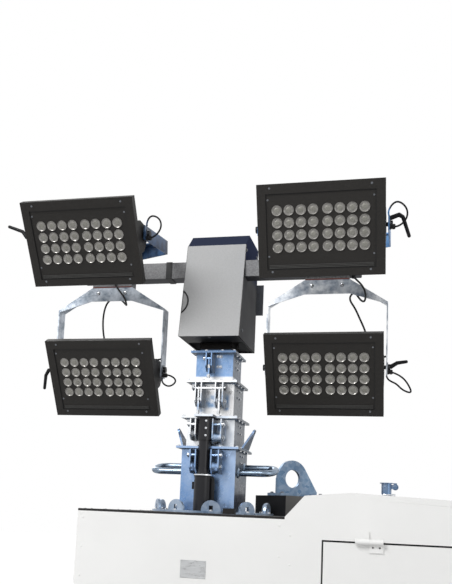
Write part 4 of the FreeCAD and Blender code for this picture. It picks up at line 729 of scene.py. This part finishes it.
def make_lamps():
    for place in LAMP_PLACES:
        matrix = hinge_matrix(place, LAMP_TILT[place])
        body = "lamp_" + place
        cups = make(f"lens_cups_{place} lens {body}", (lenses, matrix, CUP_PROFILE, 28))
        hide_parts("lenses_" + place)
        make(f"lens_cores_{place} lens_core {body}", (lenses, matrix, CORE_PROFILE, 20))
        make(f"lamp_screws_{place} bolt_dark {body} yoke_zinc",
             (bolts, [(x, BORDER_FRONT, z) for x, z in BORDER_SCREWS], -Y_DIR, 0.0028, 0.0015, matrix),
             (bolts, [(x, PANEL_FRONT, z) for x, z in PANEL_SCREWS], -Y_DIR, 0.0024, 0.0014, matrix))
        make(f"lamp_gasket_{place} rubber {body} lamp_black",
             (blocks, [(x0, x1, PANEL_FRONT - GASKET_PROUD, PANEL_FRONT, z0, z1) for x0, x1, z0, z1 in (
                 (-203, -200.5, -150, 128), (200.5, 203, -150, 128),
                 (-203, 203, 125.5, 128), (-203, 203, -150, -147.5))], 0, matrix))
        make(f"lamp_ribs_{place} rib_grey {body}",
             (blocks, [(-195, 195, -92.4, -91.8, z - 1.1, z + 1.1) for z in (-143, -138, -133)], 0, matrix))


# Crossbar and head

HEAD_SIDE = 128
HEAD_FOOT = 2124
NOTCH_CENTRE = (-0.3655, 2.28)
NOTCH_RADIUS = 0.0625


def gland_nuts(form, place):
    """Ribbed nuts round the cable's gland, at the hinge's side."""
    matrix = hinge_matrix(place, LAMP_TILT[place])
    along = matrix.to_3x3() @ X_DIR
    for x, radius, sides, length in ((249, 0.0105, 6, 0.006), (258, 0.01, 16, 0.009)):
        stand = toward(along, matrix @ mm(x, *GLANDS[place]))
        lathe(form, [(radius, 0), (radius, length), (0.0078, length + 0.001)], sides, stand)


def head_notch(form):
    """Rubber edging round the notch in the cover's leaning front."""
    slope = 76 / 417
    points = []
    for turn in spread(math.radians(-53), math.radians(53), 13):
        x = NOTCH_CENTRE[0] + NOTCH_RADIUS * math.cos(turn)
        z = NOTCH_CENTRE[1] + NOTCH_RADIUS * math.sin(turn)
        points.append(Vector((x, -0.211 + (z - HEAD_FOOT * 0.001) * slope, z)))
    hose(form, points, 0.0035, 8, 2)


def make_head():
    for place in LAMP_PLACES:
        yoke = hinge_matrix(place, -YOKE_LEAN[place])
        make(f"yoke_bolts_{place} bolt mast_head yoke_zinc",
             (bolts, [(x, -29, 340) for x in (-62, 62)], -Y_DIR, 0.0055, 0.005, yoke),
             (bolts, [(x, 6, 359) for x in (-52, 52)], -Z_DIR, 0.009, 0.007, yoke))
        make(f"pivot_nuts_{place} bolt_dark mast_head yoke_zinc",
             *((bolts, [(sign * 248.2, 0, 0)], X_DIR * sign, 0.0135, 0.0105, yoke) for sign in (-1, 1)))
        make(f"gland_nuts_{place} rubber mast_head", (gland_nuts, place))
    make("bar_plugs rubber mast_head",
         (blocks, [(x, x + 5, -144, -76, 2397, 2465) for x in (-814, 409)], 0.002))
    make("bar_bolts bolt mast_head bar_zinc",
         (bolts, [(x, y, 2474) for x in (-697, -641, 255, 311) for y in (-128, -92)], Z_DIR, 0.007, 0.006))
    # Thin stain along the edge of each spacer over the lower yokes
    make("rust_lines rust mast_head",
         (blocks, [(x - 90, x + 90, -129.2, -128.1, z, z + 5) for x, z in ((-671, 2367), (275, 2376))]))
    make("head_notch_edging rubber mast_head", (head_notch,))
    make("head_screws bolt_dark mast_head head_cover",
         (bolts, [(0, -190, HEAD_FOOT + 1)], -Z_DIR, 0.005, 0.005, AT_MAST),
         *((bolts, [(sign * HEAD_SIDE, y, z)
                    for y, z in ((-120, 2520), (-150, 2160), (100, 2160), (100, 2560))],
            X_DIR * sign, 0.005, 0.004, AT_MAST) for sign in (-1, 1)))
    # Dark joint down both front corners, and a dark flange sheet under the cover's front, put there as painted
    # shade for the inside of the cover
    make("head_seam rubber mast_head head_cover",
         *((slab, [mm(x, y, z)
                   for y, z in ((-211, HEAD_FOOT), (-135, 2541), (-128, 2541), (-204, HEAD_FOOT))],
            mm(1.5, 0, 0)) for x in (-72, -329.5)),
         # Dark sheet under the cover's front: painted shade
         (blocks, [(-325, -75, -206, -88, HEAD_FOOT + 0.5, HEAD_FOOT + 3)]))
    make("head_lip rubber mast_head head_cover",
         (blocks, [(x0, x1, y0, 130, HEAD_FOOT, HEAD_FOOT + 6)
                   for x0, x1, y0 in ((-325, -322, -205), (-78, -75, -205), (-325, -75, 127))]))
    # Strip standing out from the back edge of the cover's right side
    make("head_flange bolt_dark mast_head head_cover", (blocks, [(-73, -39, 128, 133, 2298, 2440)], 0.001))
    # Junction box and conduit on the back of the mast's top, inside the cover
    make("head_box_conduit rubber mast_head",
         (blocks, [(-235, -165, 80, 125, 2150, 2260)], 0.004),
         (hoses, [[(-200, 100, 2150), (-200, 102, 2120), (-190, 96, 2100), (-176, 88, 2106)]], 0.006))


# Mast. Half width, collar top and body of each section. Places across the mast
# are counted from its axis.

SECTIONS = [(116, 1673, "mast_base"), (103, 1801, "mast_2"), (93, 1955, "mast_3"), (81, 2084, "mast_4")]
COLLAR_SIDE = 17
COLLAR_FRONT = 34
COLLAR_THICK = 9
COLLAR_EDGE = 9
BARREL_X = -9

# Hangers: section, middle, gap and length of the cheeks, and the sheave's radius
HANGERS = [(0, -51, 18, 98, 26), (0, 42, 26, 98, 26), (1, -60, 16, 88, 20), (1, 42, 30, 104, 24),
           (2, -47, 20, 100, 22), (2, 42, 26, 104, 22), (3, -11, 18, 78, 0)]
LONG_PIN_SECTION = 2
LONG_PIN_ENDS = (-72, 70)


def collar_bolts(form, half, top):
    side = half + COLLAR_SIDE - COLLAR_EDGE
    front = half + COLLAR_FRONT - COLLAR_EDGE
    rows = [(x, y, top) for x in (-side, -side * 0.35, side * 0.42, side) for y in (-front, side)]
    edges = [(x, y) for x in (-side, side) for y in (-half * 0.6, 0, half * 0.6)]
    bolts(form, rows + [(x, y, top) for x, y in edges], Z_DIR, 0.0055, 0.005, AT_MAST)
    bolts(form, [(x, y, top - COLLAR_THICK) for x, y in edges], -Z_DIR, 0.005, 0.006, AT_MAST)


def pad_screws(form, half, top):
    """Adjusting screws of the slide pads, on the sides and the back."""
    spots = [(offset, z) for offset in (-20, 20) for z in (top - 30, top - 60)]
    for sign in (-1, 1):
        bolts(form, [(sign * half, y, z) for y, z in spots], X_DIR * sign, 0.0045, 0.005, AT_MAST)
    bolts(form, [(x, half, z) for x, z in spots], Y_DIR, 0.0045, 0.005, AT_MAST)


def weld_beads(form, half, top):
    """Beads under the collar, where it meets the section."""
    places = ((-half, -half), (half, -half), (half, half), (-half, half), (-half, -half))
    corners = [AT_MAST @ mm(x, y, top - COLLAR_THICK) for x, y in places]
    for start, end in zip(corners, corners[1:]):
        rod(form, start, end, 0.0028, 8)


def pin_heads(form, index, half, top):
    """Bright nuts and washers on the outer ends of the hangers' pins."""
    high = top - COLLAR_THICK - 6
    for section, offset, gap, length, sheave in HANGERS:
        if section != index:
            continue
        away = 1 if offset > BARREL_X else -1
        ends = LONG_PIN_ENDS if index == LONG_PIN_SECTION else (offset + away * (gap / 2 + 14),)
        spots = [(end, half + 55, high - 24, 0.01) for end in ends]
        if sheave:
            spots.append((offset + away * (gap / 2 + 9.5), half + 30, high - length + 28, 0.012))
        for x, out, z, radius in spots:
            start = AT_MAST @ mm(x, -out, z)
            outward = X_DIR * (1 if x > 0 else -1)
            rod(form, start - outward * 0.008, start - outward * 0.003, radius, 18, 0.0008)
            bolt(form, start - outward * 0.003, outward, 0.0075, 0.006)


def rope_clips(form, index, half, top):
    """Turnbuckle bodies and eyes on the short rods between the sections."""
    low = SECTIONS[index - 1][1] + 6
    middle = (low + top - COLLAR_THICK - 30) / 2
    for section, offset, *others in HANGERS:
        if section == index:
            for z, length, radius, sides, edge in ((low, 14, 0.0075, 6, 0), (middle, 16, 0.0068, 12, 0.001)):
                start = AT_MAST @ mm(offset, -(half + 55), z)
                rod(form, start, start + mm(0, 0, length), radius, sides, edge)


def make_mast():
    for index, (half, top, body) in enumerate(SECTIONS):
        number = index + 1
        make(f"collar_bolts_{number} bolt {body} zinc_mast", (collar_bolts, half, top))
        make(f"pad_screws_{number} bolt {body} zinc_mast", (pad_screws, half, top))
        make(f"weld_beads_{number} zinc_steel {body} zinc_mast", (weld_beads, half, top))
        make(f"pin_heads_{number} bolt {body} zinc_mast", (pin_heads, index, half, top))
        if index >= 2:
            make(f"rope_clips_{number} bolt {body} zinc_mast", (rope_clips, index, half, top))
    # Small bolts beside the hanger on the fourth section
    make("section_bolts bolt mast_4 zinc_mast",
         (bolts, [(x, -81, z) for x in (15, 27) for z in (2063, 2019)], -Y_DIR, 0.0045, 0.012, AT_MAST))
    # Bright lip on the barrel's top and the wiper inside it
    make("barrel_rim bolt mast_base rod_chrome",
         (lathe, [(0.0385, -0.004), (0.0385, 0.0005), (0.036, 0.0022), (0.0262, 0.0022), (0.0262, 0)], 40,
          AT_MAST @ Matrix.Translation(mm(BARREL_X, -158, 1555))))
    # Feed hose down the barrel's side from its top port
    make("barrel_hose rubber mast_base",
         (hose, [AT_MAST @ mm(*point) for point in (
             (24, -158, 1540), (30, -158, 1540), (33, -157, 1528), (33, -156, 1480), (33, -152, 1400),
             (32, -146, 1300), (32, -140, 900), (30, -140, 520), (20, -140, 470))], 0.0085, 10, 5))
    make("rod_head_screws bolt mast_2 rod_chrome",
         (bolts, [(BARREL_X + 10, -184.2, z) for z in (1715, 1745, 1775)], Vector((0.35, -1, 0)).normalized(),
          0.003, 0.002, AT_MAST))
    make("ear_beads zinc_steel mast_base zinc_mast",
         *((rod, AT_MAST @ mm(x, -60, 1673), AT_MAST @ mm(x, 60, 1673), 0.003, 8) for x in (-132, 132)))
    # Round flanges where the handles meet the mast
    make("handle_roots handle_chrome mast_base",
         *((lathe, [(0.022, 0), (0.022, 0.002), (0.017, 0.005), (0.0135, 0.007)], 26,
            toward(X_DIR * sign, AT_MAST @ mm(sign * 116, y, z)))
           for sign in (-1, 1) for y, z in ((-58, 1571), (58, 1599))))
    make("foot_bolts bolt_dark mast_base",
         (bolts, circle(178, 404, 12), Z_DIR, 0.008, 0.007, AT_MAST))


# Body

BODY_SIDE = 625
ROOF_LINE = [(270, 1473), (424, 1488), (1480, 1443)]
DECK = 1400
OUTLETS = (-270, -180, -90)
GAUGES = (-150, -60, 30, 120)
SOCKETS = (-150, -50, 50, 150)
FENDER_RADIUS = 355

# Middle of each jack's leg
JACKS = {"front_near": (-480, -668), "front_far": (-480, 668), "rear_near": (1420, -668),
         "rear_far": (1420, 668), "drawbar": (-1180, 83)}


def roof_z(x):
    for (x0, z0), (x1, z1) in zip(ROOF_LINE, ROOF_LINE[1:]):
        if x <= x1:
            return z0 + (z1 - z0) * (x - x0) / (x1 - x0)


def safety_chain(form):
    """Links laid along the drawbar's near side, from one shackle to the other."""
    for index in range(15):
        centre = mm(-1230 + 26 * index, -46, 300 - 26 * math.sin(math.pi * index / 14))
        rise, flat = (Z_DIR, Y_DIR) if index % 2 else (Y_DIR, Z_DIR)
        for sign in (-1, 1):
            middle = centre + rise * 0.0075 * sign
            rod(form, middle - X_DIR * 0.011, middle + X_DIR * 0.011, 0.0028, 8)
            ring(form, centre + X_DIR * 0.011 * sign, flat, 0.0075, 0.0028, 20, 8)


def jack_bolts(form, x, y):
    """Clamp bolts, a locking pin with its ring and the crank's collar."""
    inward = -1 if y > 0 else 1
    low = 345 if abs(y) > BODY_SIDE else 265
    bolts(form, [(x + dx, y + inward * 35, low + dz) for dx in (-46, 46) for dz in (20, 60)],
          Y_DIR * -inward, 0.006, 0.005)
    outer = y - inward * 35
    rod(form, mm(x, outer, 470), mm(x, outer - inward * 16, 470), 0.0075, 14, 0.001)
    ring(form, mm(x, outer - inward * 14, 455), Y_DIR, 0.013, 0.0022, 24, 6)
    rod(form, mm(x, y, 820), mm(x, y, 832), 0.02, 24, 0.002)
    ring(form, mm(x, y, 312), Z_DIR, 0.012, 0.001, 8, 4)


def fender_bolts(form):
    for turn in spread(math.radians(30), math.radians(150), 5):
        out = Vector((math.cos(turn), 0, math.sin(turn)))
        bolt(form, mm(480, -645, 300) + out * FENDER_RADIUS * 0.001, out, 0.006, 0.004)


def make_panels():
    """Rivets, seams and plates of the canopy and the cabinet round the mast."""
    make("side_rivets canopy_white",
         *((rivets, [(x, -BODY_SIDE, z) for x in columns for z in rows], -Y_DIR) for columns, rows in (
             (spread(-360, 1340, 18), (480,)), ((225, 1462), spread(560, 1340, 9)),
             ((-520, 188), spread(860, 1370, 6)))), BOTH)
    make("roof_rivets canopy_white",
         *((rivets, [(x, y, roof_z(x)) for x in columns for y in rows], Vector((0.04, 0, 1)).normalized())
           for columns, rows in ((spread(440, 1460, 11), (-605, 605)), ((1462, 452), spread(-560, 560, 12)))))
    # Standing seams across the roof sheet
    make("roof_seams canopy_white",
         (blocks, [(x - 9, x + 9, -610, 610, roof_z(x) - 1, roof_z(x) + 4) for x in (800, 1150)], 0.0015))
    make("deck_rivets bolt_dark chassis frame_black",
         *((rivets, [(x, y, DECK) for x in columns for y in rows], Z_DIR) for columns, rows in (
             (spread(-520, 60, 9), (-608, 608)), ((-524,), spread(-540, 540, 9)))))
    make("door_seals rubber",
         (blocks, [(x0, x1, -600, -593, z0, z1) for x0, x1, z0, z1 in (
             (322, 338, 684, 1336), (1252, 1268, 684, 1336), (338, 1252, 684, 700),
             (338, 1252, 1320, 1336))]), BOTH)
    # Blank rating plates
    make("side_plates plate",
         (blocks, [(1290, 1390, -626.5, -625, 1180, 1250), (-150, -60, -626.5, -625, 1180, 1240)], 0.0004),
         BOTH)
    make("filler_cap rubber",
         (lathe, [(0.044, 0), (0.044, 0.004), (0.036, 0.006), (0.036, 0.022), (0.032, 0.026), (0, 0.026)], 32,
          toward(-Y_DIR, mm(268, -BODY_SIDE, 1020))),
         (blocks, [(238, 298, -660, -648, 1015, 1025)], 0.002))
    make("outlet_box rubber",
         (blocks, [(-330, 60, -637, -625, 840, 1010)]
          + [(x - 30, x + 30, -674, -660, 925, 966) for x in OUTLETS], 0.004),
         (rods, [(x, -637, 925, x, -668, 925, 34) for x in OUTLETS], 0.004))
    make("outlet_lids lid_blue",
         (rods, [(x, -668, 925, x, -678, 925, 37) for x in OUTLETS], 0.004))
    make("stop_button signal_red",
         (rods, [(10, -637, 925, 10, -650, 925, 12), (10, -650, 925, 10, -664, 925, 22)], 0.004))


def make_rear():
    """Lamps, warning triangles, louvres and plate of the rear, and the side reflectors."""
    make("side_reflectors amber_glass",
         (blocks, [(x - 45, x + 45, -630, -625, 385, 420) for x in (-300, 150, 1000, 1330)], 0.002), BOTH)
    make("rear_lamp_housings rubber",
         (blocks, [(1480, 1500, -570, -330, 470, 566), (1480, 1492, 60, 68, 590, 604)], 0.003), BOTH)
    triangle = [mm(1480, -300 + 75 * math.cos(turn), 640 + 75 * math.sin(turn))
                for turn in (math.pi / 2, math.pi * 7 / 6, math.pi * 11 / 6)]
    make("rear_red_lamps red_glass",
         (blocks, [(1500, 1520, -564, -492, 476, 560)], 0.005), (slab, triangle, mm(5, 0, 0)), BOTH)
    make("rear_amber_lamps amber_glass",
         (blocks, [(1500, 1520, -490, -412, 476, 560)], 0.005), BOTH)
    make("rear_clear_lamps pale_glass",
         (blocks, [(1500, 1520, -410, -336, 476, 560)], 0.005), BOTH)
    make("number_plate plate", (blocks, [(1480, 1483, -260, 260, 470, 580)], 0.001))
    make("rear_mesh rubber", (blocks, [(1480, 1481.5, -330, 330, 760, 1240)]))
    make("rear_louvres canopy_white",
         *((slab, [mm(x, -330, z + dz) for x, dz in ((1480, 0), (1480, 30), (1500, 0), (1498, -4))],
            mm(0, 660, 0)) for z in spread(775, 1195, 11)),
         (blocks, [(1480, 1502, -342, -330, 750, 1250), (1480, 1502, 330, 342, 750, 1250),
                   (1480, 1502, -330, 330, 1240, 1250), (1480, 1502, -330, 330, 750, 760)]))


def make_front():
    """Blank plates and the control panel behind its door."""
    make("front_plates plate",
         (blocks, [(-541.5, -540, 320, 470, 1090, 1190), (-541.5, -540, -480, -360, 1090, 1160)], 0.0004))
    make("control_plate panel_grey", (blocks, [(-511, -508, -245, 245, 712, 1238)]))
    make("control_gauges rubber",
         *((rods, [(-511, y, z, -515, y, z, radius) for y in row]) for row, z, radius in (
             (GAUGES, 1150, 26), (spread(-180, 180, 7), 1060, 11), (SOCKETS, 820, 32))),
         (blocks, [(-515, -511, y - 9, y + 9, 950, 1010) for y in spread(-180, 20, 8)], 0.001))


def make_fittings():
    """Bolts, clamps and cables on the deck, the drawbar, the jacks and the fenders."""
    # Bolts through the foot of the eye plate
    make("eye_foot_bolts bolt_dark chassis frame_black",
         (bolts, [(x, y, 1500) for x in (24, 238) for y in (62, 138)], Z_DIR, 0.007, 0.006,
          Matrix.Translation(mm(102, 68, 0)) @ Matrix.Rotation(math.radians(45), 4, "Z")))
    make("turntable_bolts bolt",
         *((bolts, circle(radius, DECK + 8, 10, 30), Z_DIR, 0.0065, 0.006, AT_MAST) for radius in (218, 247)))
    make("exhaust_clamp bolt chassis exhaust_steel",
         (ring, mm(528, -200, 1498), Z_DIR, 0.0205, 0.0025, 28, 8),
         (blocks, [(548, 562, -206, -194, 1494, 1502)], 0.001))
    # Bolts through the towing eye's shank and the jack's clamp
    make("drawbar_fittings bolt",
         *((bolts, [(x, y, z) for x in (-1290, -1240) for y in (-22, 22)], way, 0.01, 0.009)
           for z, way in ((345, Z_DIR), (265, -Z_DIR))),
         (bolts, [(x, 47.5, z) for x in (-1222, -1138) for z in (285, 325)], Y_DIR, 0.007, 0.006))
    make("drawbar_cable rubber",
         (hoses, [[(-560, -30, 420), (-620, -34, 395), (-760, -38, 352), (-900, -36, 350),
                   (-1020, -30, 352), (-1090, -24, 360)]], 0.007),
         (rods, [(-1090, -24, 360, -1140, -20, 372, 17)], 0.003),
         (blocks, [(-1150, -1105, -40, -2, 345, 352)], 0.001))
    make("safety_chain bolt", (safety_chain,))
    make("mudflaps rubber", (blocks, [(828, 834, -843, -648, 176, 332)], 0.001), BOTH)
    make("fender_bolts bolt_dark chassis fender_black", (fender_bolts,), BOTH)


def make_doors():
    for side, turn in SIDES:
        body = "door_" + side
        make(f"grille_mesh_{side} rubber {body}",
             (blocks, [(868, 1202, -626.5, -625, 802, 1102)]), *turn)
        make(f"grille_frame_{side} canopy_white {body}",
             (blocks, [(x0, x1, -630, -625, z0, z1) for x0, x1, z0, z1 in (
                 (860, 868, 794, 1110), (1202, 1210, 794, 1110), (868, 1202, 794, 802),
                 (868, 1202, 1102, 1110))], 0.001), *turn)
        make(f"door_latch_{side} rubber {body}",
             (blocks, [(x0, x1, -629, -625, 716, 784) for x0, x1 in ((700, 840), (410, 470), (1130, 1190))],
              0.0015),
             (rods, [(855, -625, 750, 855, -632, 750, 11)]),
             (blocks, [(x, x + 36, -640, -629, 738, 762) for x in (422, 1142)], 0.003), *turn)
        make(f"door_bolts_{side} bolt {body}",
             (bolts, [(x, -BODY_SIDE, 1313) for x in (497, 519, 1117, 1139)], -Y_DIR, 0.004, 0.004), *turn)
    make("control_latch rubber control_door",
         (blocks, [(-543, -540, 180, 230, 905, 1045)], 0.001),
         (rods, [(-554, 205, 1000, -559, 205, 1000, 8)]))
    for name, (x, y) in JACKS.items():
        make(f"jack_bolts_{name} bolt chassis jack_zinc", (jack_bolts, x, y))


# Wheels, in axes that stand on the hub and look outward

WHEEL_STAND = toward(-Y_DIR, mm(480, -740.5, 300))
TREAD_BLOCKS = 54
TREAD_FOOT = 284
TREAD_TOP = 299.6
BLOCK_FACES = ((0, 1, 3, 2), (4, 6, 7, 5), (0, 4, 5, 1), (2, 3, 7, 6), (1, 5, 7, 3), (0, 2, 6, 4))

# Half of the tyre's section from the bead to the middle of the tread, radius and width
TYRE_PROFILE = [(178.5, -53.0), (197.5, -63.5), (226, -83), (244, -86.5), (246, -87.5), (252, -87.5),
                (254, -86.8), (259, -87.3), (284, -76), (286, -74), (292.5, -54), (293, -20), (286, -19),
                (286, -15), (293, -14)]


def tyre_shell(form):
    """Sidewalls with moulded ridges and a tread base, from bead to bead."""
    rows = TYRE_PROFILE + [(radius, -width) for radius, width in reversed(TYRE_PROFILE)] + TYRE_PROFILE[:1]
    lathe(form, [(radius * 0.001, width * 0.001) for radius, width in rows], 96, WHEEL_STAND)


def tread_blocks(form):
    """Four rows of low and high width and phase, the outer ones slanted into the shoulder."""
    step = 2 * math.pi / TREAD_BLOCKS
    for low, high, phase in ((-73, -24, 0.0), (-12, -2, 0.5), (2, 12, 0.0), (24, 73, 0.5)):
        half = step * (0.36 if abs(low + high) > 40 else 0.42)
        for index in range(TREAD_BLOCKS):
            turn = step * (index + phase)
            verts = []
            for width in (low, high):
                drop = 9 if abs(width) > 60 else 0
                for edge in (turn - half, turn + half):
                    angle = edge + 0.02 * (width / 73)
                    for radius in (TREAD_FOOT - drop, TREAD_TOP - drop):
                        out = mm(math.cos(angle) * radius, math.sin(angle) * radius, width)
                        verts.append(form.verts.new(WHEEL_STAND @ out))
            for corners in BLOCK_FACES:
                form.faces.new([verts[corner] for corner in corners])


def make_wheels():
    for side, turn in SIDES:
        body = "wheel_" + side
        shell = make(f"tyre_shell_{side} tyre {body}", (tyre_shell,), *turn)
        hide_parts("tyre_" + side)
        make(f"tread_{side} tyre {body}", (tread_blocks,), *turn)
        make(f"wheel_nuts_{side} bolt {body}",
             (bolts, circle(47, 30, 5), Z_DIR, 0.0095, 0.014, WHEEL_STAND),
             (lathe, [(0.033, 0.03), (0.033, 0.05), (0.028, 0.058), (0, 0.06)], 30, WHEEL_STAND), *turn)
        make(f"wheel_valve_{side} rubber {body}",
             (rod, WHEEL_STAND @ mm(155, 0, 8), WHEEL_STAND @ mm(148, 0, 45), 0.0045, 12, 0.001), *turn)


# Plant behind the doors

def fan(form):
    centre = mm(400, 0, 700)
    ring(form, centre, X_DIR, 0.185, 0.008, 48, 8)
    rod(form, centre - X_DIR * 0.012, centre + X_DIR * 0.02, 0.04, 24, 0.003)
    for index in range(7):
        turn = Matrix.Translation(centre) @ Matrix.Rotation(2 * math.pi * index / 7, 4, "X")
        twist = Matrix.Rotation(math.radians(28), 4, "Z")
        block(form, mm(-3, -26, 36), mm(3, 26, 172), 0.001, turn @ twist)


def make_plant():
    make("radiator bolt_dark chassis engine_grey",
         (blocks, [(345, 380, -215, 215, 470, 960)], 0.004),
         (blocks, [(343, 382, -200, 200, z, z + 4) for z in spread(490, 940, 26)]))
    make("fan rubber", (fan,))
    # Ribs and covers on the engine's sides and top
    make("engine_ribs engine_grey",
         (blocks, [(x, x + 12, y, y + 12, 520, 900)
                   for y in (-262, 250) for x in range(450, 834, 48)], 0.002),
         (blocks, [(440, 815, y, y + 12, 455, 500) for y in (-262, 250)], 0.003),
         (blocks, [(600, 800, -90, 90, 991, 998)], 0.002))
    make("generator_ribs engine_grey",
         *((ring, mm(x, 0, 609), X_DIR, 0.2005, 0.004, 48, 6) for x in spread(850, 1160, 9)),
         (blocks, [(930, 1090, -120, 120, 800, 880)], 0.006))
    make("air_filter rubber",
         (rods, [(490, -40, 1065, 490, 190, 1065, 62), (490, 190, 1065, 490, 204, 1065, 54)], 0.006),
         (ring, mm(490, 150, 1065), Y_DIR, 0.063, 0.003, 36, 6))
    make("battery rubber", (blocks, [(1240, 1420, -330, -120, 360, 560)], 0.006))
    make("battery_posts brass",
         (rods, [(x, -170, 560, x, -170, 578, 9) for x in (1280, 1380)]))
    make("fuel_tank pale_tank",
         (blocks, [(1225, 1440, 60, 560, 365, 780)], 0.03),
         (rods, [(1330, 500, 780, 1330, 500, 800, 35)], 0.004))
    make("plant_hoses rubber",
         (hoses, [[(382, 150, 920), (420, 170, 960), (470, 175, 985), (505, 150, 990)],
                  [(382, -150, 520), (400, -190, 480), (425, -235, 470), (470, -256, 480)],
                  [(490, -40, 1065), (490, -85, 1062), (520, -120, 1030), (560, -120, 994)]], 0.019),
         (hoses, [[(1280, -170, 578), (1260, -150, 640), (1200, -60, 700), (1150, -20, 808)],
                  [(1330, 480, 800), (1290, 380, 830), (1200, 200, 830), (820, 262, 700)]], 0.007))
    make("muffler bolt_dark chassis exhaust_steel",
         (rods, [(528, -200, 1060, 528, -200, 1330, 58)], 0.012),
         *((ring, mm(528, -200, z), Z_DIR, 0.059, 0.003, 36, 6) for z in (1110, 1280)))


make_camera()
make_world()
make_materials()
make_floor()
make_lights()
dress_nodes()
make_lamps()
make_head()
make_mast()
make_panels()
make_rear()
make_front()
make_fittings()
make_doors()
make_wheels()
make_plant()
